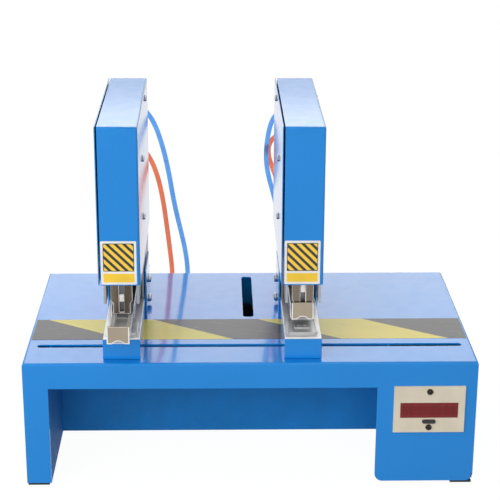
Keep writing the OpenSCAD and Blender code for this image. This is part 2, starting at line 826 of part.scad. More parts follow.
module counter_plate() {
    color(cream) difference() {
        translate([counter_x, 0, counter_z]) along_y(front_y - counter_t, front_y)
            square([counter_w, counter_h], center = true);
        translate([counter_x, 0, window_z]) along_y(front_y - counter_t - cut, front_y + cut)
            square([window_w + 2 * fit_gap, window_h + 2 * fit_gap], center = true);
        translate([counter_x, 0, reset_z]) along_y(front_y - counter_t - cut, front_y + cut)
            stadium(reset_w + 2 * run_gap, reset_h + 2 * run_gap);
        counter_screw_places()
            bar_y(0, front_y - counter_t - cut, front_y + cut, 0, counter_screw_d + 2 * fit_gap);
    }
}

module counter_window() {
    color("#A01818") translate([counter_x, 0, window_z]) along_y(front_y - counter_t - window_proud, front_y)
        square([window_w, window_h], center = true);
}

module counter_module() {
    half_w = window_w / 2 + module_rim;
    low = reset_z - reset_h / 2 - pocket_low;
    high = window_z + window_h / 2 + module_rim;
    y0 = front_y + sheet_t;
    color(black) difference() {
        union() {
            translate([counter_x, 0, window_z]) along_y(front_y, y0 + cut)
                square([window_w + module_gap, window_h + module_gap], center = true);
            slab(counter_x - half_w, counter_x + half_w, y0, y0 + module_depth, low, high);
        }
        slab(counter_x - reset_w / 2 - module_rim, counter_x + reset_w / 2 + module_rim,
             y0 - cut, y0 + reset_pocket, low - cut, reset_z + reset_h / 2 + pocket_high);
    }
}

module reset_button() {
    y1 = front_y + sheet_t + run_gap;
    color(black) translate([counter_x, 0, reset_z]) {
        along_y(front_y - counter_t - reset_proud, y1 + reset_flange_t) stadium(reset_w, reset_h);
        along_y(y1, y1 + reset_flange_t) stadium(reset_w + 2 * reset_lip_w, reset_h + 2 * reset_lip_h);
    }
}

module base_screws() {
    color(dark_steel) {
        counter_screw_places() {
            bar_y(0, front_y - counter_t, front_y + sheet_t + screw_tail, 0, counter_screw_d);
            bar_y(0, front_y - counter_t - counter_head_h, front_y - counter_t, 0, counter_head_d);
        }
        back_screw_places() {
            bar_y(0, panel_y - sheet_t - screw_tail, back_y, 0, screw_d);
            bar_y(0, back_y, back_y + head_h, 0, head_d);
        }
        bottom_screw_places() {
            bar_z(0, 0, pad_t, floor_z + nut_block - 1, screw_d);
            bar_z(0, 0, pad_t - head_h, pad_t, head_d);
        }
    }
}

// Pieces inside the table

module valve_unit() {
    pitch = valve_w + valve_gap;
    top = floor_z + manifold_h;
    color("#9EA3A8") translate([valve_x, bay_y, 0]) {
        slab(-manifold_w / 2, manifold_w / 2, -manifold_d / 2, manifold_d / 2, floor_z, top);
        for (s = [-1, 1]) translate([s * pitch / 2, 0, 0]) {
            slab(-valve_w / 2, valve_w / 2, -manifold_d / 2, manifold_d / 2, top, top + valve_h);
            slab(-valve_w / 2 + 1, valve_w / 2 - 1, -manifold_d / 2 + 2, manifold_d / 2 - 6,
                 top + valve_h, top + valve_h + coil_h);
        }
        for (x = [-1.5, -0.5, 0.5, 1.5])
            bar_y(x * manifold_w / 5, manifold_d / 2, manifold_d / 2 + stub_len,
                  floor_z + manifold_h / 2, thread_d);
    }
}

module control_board() {
    top = floor_z + standoff_h;
    deck = top + board_t;
    edge_x = board_w / 2;
    edge_y = board_d / 2;
    color("#2F7A46") translate([board_x, bay_y, 0]) {
        for (x = [-1, 1], y = [-1, 1])
            bar_z(x * (edge_x - standoff_inset), y * (edge_y - standoff_inset), floor_z, top, standoff_d);
        slab(-edge_x, edge_x, -edge_y, edge_y, top, deck);
        translate([supply_inset - edge_x, 0, 0])
            slab(0, supply_size, -supply_size / 2, supply_size / 2, deck, deck + supply_h);
        for (i = [0 : 2])
            slab(i * relay_pitch, i * relay_pitch + relay_w, -relay_h / 2, relay_h / 2, deck, deck + relay_h);
        slab(0, edge_x - standoff_d, edge_y - standoff_inset - terminal_d, edge_y - standoff_inset, deck,
             deck + terminal_h);
    }
}

// Pieces on the back panel

module push_in_fitting(x, z, d, td, nut_d, y_end) {
    bar_y(x, panel_y - fitting_tail, y_end, z, td);
    bar_y(x, panel_y - hex_t, panel_y, z, nut_d, 6);
    bar_y(x, back_y, back_y + hex_t, z, nut_d, 6);
    bar_y(x, back_y + hex_t, y_end - collar_t, z, d);
}

module hose_bulkheads() {
    color("#3A3C40") for (x = bulkhead_xs)
        push_in_fitting(x, panel_z, fitting_d, thread_d, hex_d, back_y + fitting_len);
}

module air_inlet() {
    color("#3A3C40") difference() {
        push_in_fitting(air_x, panel_z, air_thread_d + 2, air_thread_d, air_hex_d, back_y + fitting_len);
        bar_y(air_x, back_y + fitting_len - inlet_depth, back_y + fitting_len + cut, panel_z, inlet_bore);
    }
}

module foot_socket() {
    flange_y = back_y + foot_socket_flange_t;
    end_y = flange_y + foot_socket_nose;
    color("#B8BBBE") {
        difference() {
            union() {
                bar_y(socket_x, panel_y - foot_socket_tail, flange_y, panel_z, foot_socket_d);
                bar_y(socket_x, back_y, flange_y, panel_z, foot_socket_d + 6, 6);
                bar_y(socket_x, flange_y, end_y, panel_z, foot_socket_d - 1);
                bar_y(socket_x, panel_y - foot_socket_flange_t, panel_y, panel_z, foot_socket_d + 5, 6);
            }
            bar_y(socket_x, back_y + 1, end_y + cut, panel_z, foot_socket_d - 1 - 2 * foot_socket_wall);
        }
        for (a = [45 : 90 : 315])
            bar_y(socket_x + foot_pin_r * cos(a), back_y, end_y - foot_pin_d,
                  panel_z + foot_pin_r * sin(a), foot_pin_d);
    }
}

module power_inlet() {
    color(black) difference() {
        union() {
            slab(inlet_x - inlet_w / 2, inlet_x + inlet_w / 2, back_y, back_y + inlet_flange_t,
                 inlet_z - inlet_low, inlet_z + inlet_high);
            slab(inlet_x - inlet_body_w / 2, inlet_x + inlet_body_w / 2, back_y - inlet_body_d, back_y,
                 inlet_z - inlet_low + inlet_rim, inlet_z + inlet_high - inlet_rim);
        }
        difference() {
            slab(inlet_x - socket_w / 2, inlet_x + socket_w / 2, back_y + inlet_flange_t - socket_depth,
                 back_y + inlet_flange_t + cut, inlet_z - socket_h / 2, inlet_z + socket_h / 2);
            for (i = [-1, 0, 1])
                translate([inlet_x + i * inlet_pin_pitch, back_y - socket_depth / 2,
                           inlet_z + (i == 0 ? 3 : -1)])
                cube([inlet_pin_w, socket_depth, inlet_pin_h], center = true);
        }
        slab(inlet_x - switch_w / 2 - run_gap, inlet_x + switch_w / 2 + run_gap, back_y - switch_pocket,
             back_y + inlet_flange_t + cut, switch_z - switch_h / 2 - 1, switch_z + switch_h / 2 + 1);
        bar_x(inlet_x - switch_end - run_gap, inlet_x + switch_end + run_gap, switch_axis_y, switch_z,
              switch_pin_d + 2 * pin_gap);
    }
}

module power_switch() {
    half = switch_h / 2 - 0.4;
    tip = back_y + inlet_flange_t + switch_proud - switch_axis_y;
    color("#8E1B1B") translate([0, switch_axis_y, switch_z]) {
        rotate([-switch_angle, 0, 0]) along_x(inlet_x - switch_w / 2, inlet_x + switch_w / 2)
            polygon([[tip, half], [tip - switch_dish, 0], [tip, -half], [-2, -half], [-4, 0], [-2, half]]);
        bar_x(inlet_x - switch_end, inlet_x + switch_end, 0, 0, switch_pin_d);
    }
}

// Air hoses

module hose(route) {
    rings = [for (i = [0 : hose_rings - 1]) let (u = i / (hose_rings - 1))
        ring_at(curve_at(route, u), curve_dir(route, u), hose_d / 2)];
    side = [for (i = [0 : hose_rings - 2], k = [0 : hose_sides - 1])
        let (a = i * hose_sides + k, b = i * hose_sides + (k + 1) % hose_sides)
        each [[a, b, b + hose_sides], [a, b + hose_sides, a + hose_sides]]];
    start = [for (k = [1 : hose_sides - 2]) [0, k + 1, k]];
    last = (hose_rings - 1) * hose_sides;
    end = [for (k = [1 : hose_sides - 2]) [last, last + k, last + k + 1]];
    polyhedron([for (r = rings) each r], concat(side, start, end));
}

module left_blue_hose() {
    color("#1F6FD0") hose(route(left_blue_bow, left_head_x, port_zs[1], bulkhead_xs[0]));
}
module left_red_hose() {
    color("#E0492F") hose(route(left_red_bow, left_head_x, port_zs[0], bulkhead_xs[1]));
}
module right_blue_hose() {
    color("#1F6FD0") hose(route(right_blue_bow, right_head_x, port_zs[1], bulkhead_xs[2]));
}
module right_red_hose() {
    color("#E0492F") hose(route(right_red_bow, right_head_x, port_zs[0], bulkhead_xs[3]));
}

// Fixed pieces of a head

module foot() {
    color(blue) {
        difference() {
            slab(-foot_x, foot_x, foot_y0, foot_y1, 0, foot_h);
            slab(-foot_x + foot_wall, foot_x - foot_wall, foot_y0 + foot_wall, foot_y1 - foot_wall,
                 -cut, foot_h - foot_wall);
            bracket_screw_places(bracket_screw_zs[0])
                bar_x(foot_x - foot_wall - cut, foot_x + cut, 0, 0, big_screw_d + 2 * fit_gap);
        }
        slab(-stud_block_w / 2, stud_block_w / 2, -stud_block_d / 2, stud_block_d / 2, 0, foot_h - foot_wall);
        bar_z(0, 0, knob_z - stud_tail, 1, stud_d);
    }
}

module bracket_screw_places(z) {
    for (s = [0, 1]) mirror([s, 0, 0]) translate([0, bracket_screw_y, z]) children();
}

module bed_plate() {
    color(steel) slab(-foot_x + 0.5, foot_x - 0.5, foot_y0 + 0.5, foot_y1, foot_h, bed_z);
}

module anvil() {
    y0 = blade_y0 - anvil_d / 2 + 2;
    floor = bed_z + anvil_t;
    die_w = blade_w + die_rim;
    color(steel) {
        translate([0, y0 + anvil_d / 2, bed_z]) {
            linear_extrude(anvil_t) rounded(anvil_w, anvil_d, anvil_r);
            linear_extrude(anvil_t + rim_h) difference() {
                rounded(anvil_w, anvil_d, anvil_r);
                rounded(anvil_w - 2 * rim_w, anvil_d - 2 * rim_w, anvil_r - rim_w);
            }
        }
        difference() {
            slab(-die_w / 2, die_w / 2, blade_y0 - die_rim, blade_y1 + die_rim, bed_z, floor + rim_h);
            for (s = [-1, 1])
                bar_y(s * blade_w / 4, blade_y0 - 1, blade_y1 + 1, floor + rim_h + blade_w / 8,
                      blade_w / 2.4);
        }
    }
}

module frame() {
    color(dark_steel) difference() {
        union() {
            for (x = [-frame_x, frame_in]) {
                slab(x, x + frame_t, frame_y0, web_y1, box_lift + arm_rise, frame_top);
                slab(x, x + frame_t, column_y, web_y1, bed_z, box_lift + arm_rise + cut);
                slab(x, x + frame_t, frame_y0, frame_y0 + cheek_d, box_lift - cheek_drop,
                     box_lift + arm_rise + cut);
            }
            slab(-frame_x, frame_x, web_y0, web_y1, bed_z, frame_top);
            slab(-frame_x + 1, frame_x - 1, cyl_y - cap_w / 2, web_y1, cyl_top, cyl_top + shelf_t);
        }
        bar_x(-frame_x - cut, frame_x + cut, pivot_y, pivot_z, pivot_d + 2 * pin_gap);
        bracket_screw_places(bracket_screw_zs[1])
            bar_x(frame_in - cut, frame_x + cut, 0, 0, big_screw_d + 2 * fit_gap);
        for (p = box_screws) bar_x(-frame_x - cut, frame_x + cut, p[0], p[1], screw_d + 2 * fit_gap);
        for (z = port_zs) bar_y(0, web_y0 - cut, web_y1 + cut, z, hole_d);
    }
}

module brackets() {
    boss_d = big_head_d + 2;
    color(blue) for (s = [0, 1]) mirror([s, 0, 0]) difference() {
        union() {
            slab(foot_x, foot_x + bracket_t, bracket_y, bracket_y + bracket_d, run_gap, run_gap + bracket_h);
            bar_x(frame_x, foot_x + cut, bracket_screw_y, bracket_screw_zs[1], boss_d);
        }
        for (z = bracket_screw_zs)
            bar_x(frame_x - cut, foot_x + bracket_t + cut, bracket_screw_y, z, big_screw_d + 2 * fit_gap);
    }
}

module screws() {
    color(dark_steel) {
        for (z = bracket_screw_zs) bracket_screw_places(z)
            screw_x(foot_x + bracket_t + big_head_h, 0, 0, big_screw_d, bracket_t + foot_wall + screw_tail,
                    big_head_d, big_head_h);
        for (p = box_screws) {
            screw_x(box_x + head_h, p[0], p[1], screw_d, box_x - frame_in + 2, head_d, head_h);
            mirror([1, 0, 0])
                screw_x(cover_side + head_h, p[0], p[1], screw_d, cover_side - frame_in + 2, head_d, head_h);
        }
    }
}

module box_form(inset, open) {
    r = max(box_bend_r - inset, 0.3);
    intersection() {
        translate([0, 0, box_lift - open]) linear_extrude(box_h - inset + open)
            mirror([1, -1])
            tombstone(box_y0 + inset, box_y1 - inset, shell_x - open, box_x - inset, r, true, true);
        along_y(box_y0 + inset, box_y1 - inset)
            tombstone(shell_x - open, box_x - inset, box_lift - open, box_top - inset, r, false, true);
        along_x(shell_x - open, box_x - inset)
            tombstone(box_y0 + inset, box_y1 - inset, box_lift - open, box_top - inset, r, true, true);
    }
}

module shell() {
    color(blue) {
        difference() {
            box_form(0, 0);
            box_form(box_wall, cut);
            for (z = port_zs) bar_y(0, box_y1 - box_wall - cut, box_y1 + cut, z, hole_d);
            for (p = box_screws)
                bar_x(box_x - box_wall - cut, box_x + cut, p[0], p[1], screw_d + 2 * fit_gap);
        }
        for (p = box_screws) difference() {
            bar_x(frame_x, box_x - box_wall, p[0], p[1], head_d + 2);
            bar_x(frame_x - cut, box_x, p[0], p[1], screw_d + 2 * fit_gap);
        }
    }
}

module cover() {
    color(blue) difference() {
        union() {
            slab(-cover_side, cover_x, box_y0, box_y1, box_lift, box_top);
            for (p = box_screws) bar_x(cover_x - 0.2, -frame_x, p[0], p[1], head_d + 2);
        }
        for (p = box_screws) bar_x(-cover_side - cut, -frame_x + cut, p[0], p[1], screw_d + 2 * fit_gap);
    }
}

module nose_guide() {
    step_z = nose_z + nose_tip_h;
    side = ram_x + run_gap;
    back = ram_y1 + run_gap;
    color(steel) {
        along_y(-nose_y, nose_back) difference() {
            polygon([[-nose_tip_w / 2, nose_z], [nose_tip_w / 2, nose_z], [nose_tip_w / 2, step_z],
                     [nose_w / 2, step_z + nose_taper], [nose_w / 2, box_lift], [frame_in, box_lift],
                     [frame_in, box_lift + guide_h], [-frame_in, box_lift + guide_h], [-frame_in, box_lift],
                     [-nose_w / 2, box_lift], [-nose_w / 2, step_z + nose_taper], [-nose_tip_w / 2, step_z]]);
            translate([-nose_slot_w / 2, slot_low]) square([nose_slot_w, slot_high - slot_low]);
        }
        for (s = [0, 1]) mirror([s, 0, 0]) {
            slab(side, frame_in, nose_back, back + guide_back_t, box_lift, box_lift + guide_h);
            slab(side - guide_lip, side + cut, back, back + guide_back_t, box_lift, box_lift + guide_h);
        }
    }
}

module magazine() {
    x1 = mag_w / 2;
    y1 = mag_len - mag_nose;
    color(steel) {
        difference() {
            slab(-x1, x1, -mag_nose, y1, mag_z, mag_z + mag_h);
            slab(-x1 + mag_wall, x1 - mag_wall, -mag_nose - cut, y1 + cut,
                 mag_z + mag_wall, mag_z + mag_h + cut);
        }
        for (s = [0, 1]) mirror([s, 0, 0])
            slab(x1 - mag_wall / 2, frame_in, column_y + 4, y1, mag_z + 3, mag_z + mag_h - 3);
    }
}

module cylinder_body() {
    half = cap_w / 2;
    color("#C9CCCE") difference() {
        union() {
            slab(-half, half, cyl_y - half, cyl_y + half, cyl_z, cyl_z + cap_h);
            slab(-half, half, cyl_y - half, cyl_y + half, cyl_top - cap_h, cyl_top);
            bar_z(0, cyl_y, cyl_z + cap_h - cut, cyl_top - cap_h + cut, barrel_d);
        }
        bar_z(0, cyl_y, bore_z0, bore_z1, bore_d);
        bar_z(0, cyl_y, cyl_z - cut, bore_z0 + cut, rod_d + 2 * pin_gap);
        for (z = port_zs)
            bar_y(0, cyl_y + half - port_depth, cyl_y + half + cut, z, thread_d + 2 * fit_gap);
    }
}

module pivot_pin() {
    color(steel) bar_x(-frame_x, frame_x, pivot_y, pivot_z, pivot_d);
}

module fittings() {
    face = cyl_y + cap_w / 2;
    color("#3A3C40") for (z = port_zs) {
        bar_y(0, face - port_depth, face, z, thread_d);
        bar_y(0, face, face + hex_t, z, hex_d, 6);
        bar_y(0, face + hex_t, fitting_end - collar_t, z, fitting_d);
        bar_y(0, fitting_end - collar_t, fitting_end, z, thread_d);
    }
}

// Moving pieces of a head; drop is how far the ram is lowered

module lever_slot(y, d) {
    translate([y, 0]) stadium(d + 2 * link_play, d);
}

module rocker(drop) {
    tilt = atan((ram_stroke / 2 - drop) / front_arm);
    link_hole = link_d + 2 * run_gap;
    reach = link_hole / 2 + link_play + 3;
    color("#6F7478") translate([0, pivot_y, pivot_z]) rotate([-tilt, 0, 0]) difference() {
        union() {
            along_x(-lever_t / 2, lever_t / 2)
                translate([-front_arm - reach, -lever_h / 2])
                square([front_arm + rear_arm + 2 * reach, lever_h]);
            bar_x(-hub_w / 2, hub_w / 2, 0, 0, hub_d);
        }
        bar_x(-hub_w, hub_w, 0, 0, pivot_d + 2 * pin_gap);
        along_x(-lever_t, lever_t) {
            lever_slot(-front_arm, link_hole);
            lever_slot(rear_arm, link_hole);
        }
    }
}

module piston_rod(drop) {
    lift = drop * rear_arm / front_arm;
    z = tail_z + lift;
    piston_z = bore_z0 + run_gap + lift;
    ear_x = ear_gap / 2;
    half = clevis_d / 2;
    shoulder = z + lever_h / 2 + 3;
    color(steel) translate([0, cyl_y, 0]) {
        bar_z(0, 0, shoulder + crown_t - cut, piston_z + cut, rod_d);
        bar_z(0, 0, piston_z, piston_z + piston_h, bore_d - 2 * pin_gap);
        slab(-ear_x - ear_t, ear_x + ear_t, -half, half, shoulder, shoulder + crown_t);
        for (s = [0, 1]) mirror([s, 0, 0])
            slab(ear_x, ear_x + ear_t, -half, half, z - half, shoulder + cut);
        bar_x(-ear_x - ear_t, ear_x + ear_t, 0, z, link_d);
    }
}

module ram(drop) {
    ear_x = ear_gap / 2;
    body_top = link_z - lever_h / 2 - 4;
    holder_x = blade_w / 2 + 2;
    color(steel) translate([0, 0, -drop]) {
        slab(-ram_x, ram_x, ram_y0, ram_y1, ram_z, body_top);
        for (s = [0, 1]) mirror([s, 0, 0])
            slab(ear_x, ram_x, ram_y0, ram_y1, body_top - cut, link_z + ear_rise);
        bar_x(-ram_x, ram_x, link_y, link_z, link_d);
        slab(-holder_x, holder_x, ram_y0, blade_y1 + 1.8, ram_z - holder_h, ram_z + cut);
        slab(-blade_w / 2, blade_w / 2, blade_y0, blade_y1, blade_tip, ram_z);
        slab(-nose_slot_w / 2 + run_gap, nose_slot_w / 2 - run_gap, -nose_y + 0.5, ram_y0 + cut,
             key_z, key_z + key_h);
    }
}

module notched(w, h) {
    translate([0, tongue_z]) difference() {
        translate([-w / 2, 0]) square([w, h]);
        translate([0, notch_h - notch_r]) circle(notch_r);
    }
}

module drawer(out) {
    color(steel) translate([0, -out, 0]) {
        difference() {
            union() {
                for (s = [0, 1]) mirror([s, 0, 0])
                    slab(rail_in, rail_x, block_y1 - cut, rail_end, rail_z, rail_top);
                along_y(tongue_y + tongue_t - cut, block_y1) notched(2 * rail_x, rail_top - tongue_z);
                slab(-rail_x, rail_x, rail_end - cross_t, rail_end, rail_z, rail_top);
                slab(-rail_x, rail_x, block_y1 - cut, rail_end, rail_z, rail_z + drawer_floor_t);
            }
            for (y = [0, drawer_travel])
                slab(-rail_in, rail_in, y + block_y1, y + pusher_y,
                     rail_z - cut, rail_z + drawer_floor_t + cut);
            slab(-rail_in - groove_d, rail_in + groove_d,
                 wing_y0 - run_gap, wing_y1 + pusher_travel + run_gap, groove_z0, groove_z1);
            bar_z(0, tongue_y + tongue_t, tongue_z - cut, rail_top + cut, finger_hole_d);
        }
        along_y(tongue_y, tongue_y + tongue_t) notched(tongue_w, tongue_h);
    }
}

module pusher(out) {
    wing = groove_d - run_gap;
    body_x = rail_in - run_gap;
    color("#505356") translate([0, -out, 0]) {
        slab(-body_x, body_x, pusher_y, pusher_y + pusher_len, pusher_z, pusher_z + pusher_h);
        slab(-body_x - wing, body_x + wing, wing_y0, wing_y1, groove_z0 + run_gap, groove_z1 - run_gap);
    }
}

module clamp_knob() {
    color(black) difference() {
        union() {
            bar_z(0, 0, knob_z, knob_top - knob_neck, knob_d);
            bar_z(0, 0, knob_top - knob_neck - cut, knob_top, stud_d + knob_neck_wall);
        }
        for (i = [0 : knob_flutes - 1]) rotate(360 * i / knob_flutes)
            bar_z(knob_d / 2 + flute_d / 4, 0, knob_z - cut, knob_top - knob_neck + cut / 2, flute_d);
        bar_z(0, 0, knob_z - cut, knob_top + cut, stud_d + 2 * pin_gap);
    }
}

// Places

module in_frame() {
    translate([0, frame_y, 0]) children();
}
module at_left() {
    translate([left_head_x, frame_y + slot_y, head_z]) children();
}
module at_right() {
    translate([right_head_x, frame_y + slot_y, head_z]) children();
}

in_frame() table_shell();
in_frame() recess_liner();
in_frame() back_panel();
in_frame() bottom_plate();
in_frame() rubber_feet();
in_frame() hazard_tape();
in_frame() counter_plate();
in_frame() counter_window();
in_frame() counter_module();
in_frame() reset_button();
in_frame() base_screws();
in_frame() valve_unit();
in_frame() control_board();
in_frame() power_inlet();
in_frame() power_switch();
in_frame() foot_socket();
in_frame() air_inlet();
in_frame() hose_bulkheads();
in_frame() left_blue_hose();
in_frame() left_red_hose();
in_frame() right_blue_hose();
in_frame() right_red_hose();
at_left() foot();  // left_foot
at_left() bed_plate();  // left_bed_plate
at_left() anvil();  // left_anvil
at_left() frame();  // left_frame
at_left() brackets();  // left_brackets
at_left() screws();  // left_screws
at_left() shell();  // left_shell
at_left() cover();  // left_cover
at_left() nose_guide();  // left_nose_guide
at_left() magazine();  // left_magazine
at_left() cylinder_body();  // left_cylinder
at_left() pivot_pin();  // left_pivot_pin
at_left() fittings();  // left_fittings
at_left() rocker(left_pose[1]);  // left_rocker
at_left() piston_rod(left_pose[1]);  // left_piston_rod
at_left() ram(left_pose[1]);  // left_ram
at_left() drawer(left_pose[0]);  // left_drawer
at_left() pusher(left_pose[0]);  // left_pusher
at_left() clamp_knob();  // left_clamp_knob
at_right() foot();  // right_foot
at_right() bed_plate();  // right_bed_plate
at_right() anvil();  // right_anvil
at_right() frame();  // right_frame
at_right() brackets();  // right_brackets
at_right() screws();  // right_screws
at_right() shell();  // right_shell
at_right() cover();  // right_cover
at_right() nose_guide();  // right_nose_guide
at_right() magazine();  // right_magazine
at_right() cylinder_body();  // right_cylinder
at_right() pivot_pin();  // right_pivot_pin
at_right() fittings();  // right_fittings
at_right() rocker(right_pose[1]);  // right_rocker
at_right() piston_rod(right_pose[1]);  // right_piston_rod
at_right() ram(right_pose[1]);  // right_ram
at_right() drawer(right_pose[0]);  // right_drawer
at_right() pusher(right_pose[0]);  // right_pusher
at_right() clamp_knob();  // right_clamp_knob
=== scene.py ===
"""Dresses the double-head stapling machine: paint, steel, tape, counter, labels, screws and air hoses."""

import json
import math

import bmesh
import bpy
from mathutils import Matrix, Vector


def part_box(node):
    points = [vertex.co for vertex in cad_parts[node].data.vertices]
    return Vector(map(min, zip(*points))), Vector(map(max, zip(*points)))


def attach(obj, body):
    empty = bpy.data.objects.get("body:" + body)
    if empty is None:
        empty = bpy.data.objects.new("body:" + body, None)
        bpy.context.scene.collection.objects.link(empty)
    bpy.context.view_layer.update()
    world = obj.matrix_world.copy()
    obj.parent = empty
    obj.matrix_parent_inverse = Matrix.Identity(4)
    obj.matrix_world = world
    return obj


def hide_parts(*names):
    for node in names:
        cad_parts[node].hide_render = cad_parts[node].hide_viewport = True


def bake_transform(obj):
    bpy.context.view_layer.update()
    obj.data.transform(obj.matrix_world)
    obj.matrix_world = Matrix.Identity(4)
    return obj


bl_info = {
    "name": "Stapling machine",
    "version": (1, 0, 0),
    "blender": (4, 5, 0),
    "location": "View3D > Sidebar > Stapler",
    "description": "Finishes and small pieces of a double-head stapling machine",
    "category": "Add Mesh",
}

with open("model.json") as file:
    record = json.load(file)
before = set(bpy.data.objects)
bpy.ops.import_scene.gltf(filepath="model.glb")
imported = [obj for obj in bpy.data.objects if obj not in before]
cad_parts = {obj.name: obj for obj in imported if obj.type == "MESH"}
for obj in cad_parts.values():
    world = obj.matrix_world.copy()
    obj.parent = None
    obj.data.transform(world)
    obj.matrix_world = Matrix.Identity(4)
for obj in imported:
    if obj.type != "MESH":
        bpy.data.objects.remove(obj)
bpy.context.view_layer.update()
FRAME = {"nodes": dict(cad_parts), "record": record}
NODES = FRAME["nodes"]
SIDES = ("left", "right")
MM = 0.001

# Points nearer than this are merged, and faces within the flat angle make one; sharper edges are rounded
MERGE = 2e-6
FLAT_ANGLE = math.radians(0.6)
SHARP_ANGLE = math.radians(40)

# Air hoses, from the head's fitting to the table's bulkhead, in millimetres about the table's centre
TABLE_Y = 8.5
HOSE_ROUTES = {
    "left_blue_hose": [
        (-141.5, 138, 364), (-137.8, 153.1, 363.2), (-128.6, 164.3, 357.8), (-119.5, 169.3, 346.2),
        (-112.3, 167, 332.6), (-107, 160.3, 319.4), (-102.6, 152.8, 306.3), (-98.9, 146.1, 292.5),
        (-95.8, 141.9, 277.7), (-93.3, 140.9, 262.3), (-90.9, 143, 246.9), (-88.5, 147.2, 231.9),
        (-86, 152.7, 217.4), (-83.5, 159, 203.2), (-81.1, 165.7, 189.2), (-78.9, 172.7, 175.3),
        (-77.2, 179.6, 161.2), (-75.9, 185.9, 146.9), (-75.2, 189.8, 131.7), (-75.2, 187.9, 116.3),
        (-75.7, 177.9, 104.4), (-76, 163, 100)],
    "left_red_hose": [
        (-141.5, 138, 315), (-139.1, 150.4, 314), (-133.4, 160.8, 309.8), (-126.5, 167.5, 301.6),
        (-120, 169.4, 291), (-114.8, 167, 279.7), (-110.8, 163, 268.3), (-107.7, 159.5, 256.4),
        (-105.3, 157.8, 244.1), (-103.4, 158.1, 231.5), (-102, 160, 219), (-100.8, 163.1, 206.7),
        (-99.7, 166.9, 194.6), (-98.7, 171.3, 182.8), (-97.8, 176.2, 171.1), (-96.9, 181.2, 159.4),
        (-96.1, 185.9, 147.6), (-95.5, 189.3, 135.4), (-95.2, 189.7, 122.7), (-95.3, 184.8, 111.1),
        (-95.8, 175.3, 102.9), (-96, 163, 100)],
    "right_blue_hose": [
        (57.5, 138, 364), (56.7, 152.7, 360.9), (50, 165.4, 356.7), (40, 174.3, 350), (32.7, 178.7, 337.7),
        (28.8, 180.2, 323.2), (26.7, 180.5, 308.2), (26, 180.4, 293.1), (26.9, 180.3, 278),
        (29.7, 180.4, 263.2), (33.6, 180.4, 248.6), (37.4, 180, 233.9), (40.4, 179.6, 219.1),
        (43, 179.6, 204.2), (45.3, 180.5, 189.3), (47.3, 182.6, 174.5), (49.2, 185.6, 159.8),
        (50.8, 188.5, 145), (52.3, 190.1, 130.1), (53.4, 187.1, 115.4), (53.9, 177.3, 104.2),
        (54, 163, 100)],
    "right_red_hose": [
        (57.5, 138, 315), (55.8, 151.7, 317), (50.4, 164, 320.8), (42.3, 175.2, 320.7), (34.2, 184, 313.8),
        (29.4, 189.1, 301.9), (29.9, 190, 288.1), (34.2, 188, 274.9), (38.7, 185.9, 261.9),
        (41.8, 185.1, 248.3), (43.2, 185.6, 234.4), (43.9, 186.8, 220.5), (44.9, 188.2, 206.6),
        (47.1, 189.2, 192.8), (51.3, 189.3, 179.5), (56.9, 189, 166.7), (62.5, 188.9, 153.9),
        (66.4, 189.7, 140.5), (68.4, 189.9, 126.7), (69.3, 186.1, 113.3), (69.8, 176.4, 103.6),
        (70, 163, 100)],
}


def linear(code):
    """Linear colour of an sRGB hex code."""
    parts = [int(code[i:i + 2], 16) / 255 for i in (0, 2, 4)]
    return tuple(c / 12.92 if c <= 0.04045 else ((c + 0.055) / 1.055) ** 2.4 for c in parts)


def colour_property(name, code, text):
    """Colour setting with its default as a hex code."""
    return bpy.props.FloatVectorProperty(
        name=name, description=text, subtype="COLOR", size=3, min=0, max=1, default=linear(code))


def length_property(name, value, text):
    """Length setting in metres."""
    return bpy.props.FloatProperty(name=name, description=text, default=value, min=0, unit="LENGTH",
                                   precision=5)


class StaplerFinish(bpy.types.PropertyGroup):
    """Colours of the machine's finishes."""

    enamel: colour_property("Enamel", "0F83D4", "Blue enamel of the table and the heads")
    tape_pale: colour_property("Tape, pale", "D9C640", "Pale stripes of the tape")
    tape_dark: colour_property("Tape, dark", "2A2725", "Dark stripes of the tape")
    counter: colour_property("Counter plate", "D8CEB9", "Cream plate of the counter")
    window: colour_property("Display window", "7A1618", "Red window of the counter")
    bright_steel: colour_property("Bright steel", "DEDCD8", "Drawer")
    tongue_steel: colour_property("Tongue steel", "AA9E8D", "Pull tongue of the drawer")
    nose_steel: colour_property("Nose steel", "7E7368", "Browned nose plate")
    plated_steel: colour_property("Plated steel", "AEB0B1", "Frame, magazine, pusher, rods and pins")
    hose_blue: colour_property("Blue hose", "72B4FF", "Blue air hose")
    hose_red: colour_property("Red hose", "FF8A66", "Red air hose")
    label: colour_property("Label field", "F1C73A", "Yellow field of the labels")


class StaplerSizes(bpy.types.PropertyGroup):
    """Sizes of the pieces that dress the machine."""

    edge: length_property("Edge rounding", 0.0005, "Rounding of the sheet-metal edges")
    plate_edge: length_property("Plate rounding", 0.0003, "Rounding of the small steel plates' edges")
    # Width of the bright bevels, which are worn steel with a painted highlight
    worn_edge_and_highlight: length_property("Worn edge", 0.0006, "Bright worn edge of a steel plate")
    # Width of the tongue's bright rim, worn steel with a painted highlight
    tongue_rim_and_highlight: length_property("Tongue edge", 0.0009, "Bright worn edge of a pull tongue")
    hose: length_property("Hose diameter", 0.006, "Outer diameter of the air hoses")
    label_w: length_property("Label width", 0.0388, "Width of a label")
    label_h: length_property("Label height", 0.0498, "Height of a label")
    label_t: length_property("Label thickness", 0.0003, "Thickness of a label")
    digit_w: length_property("Digit width", 0.0046, "Width of a display digit")
    digit_h: length_property("Digit height", 0.0088, "Height of a display digit")
    digit_pitch: length_property("Digit pitch", 0.0074, "Distance between the display's digits")
    stripe_period: length_property("Stripe period", 0.2445, "Period of the tape's stripes along the table")


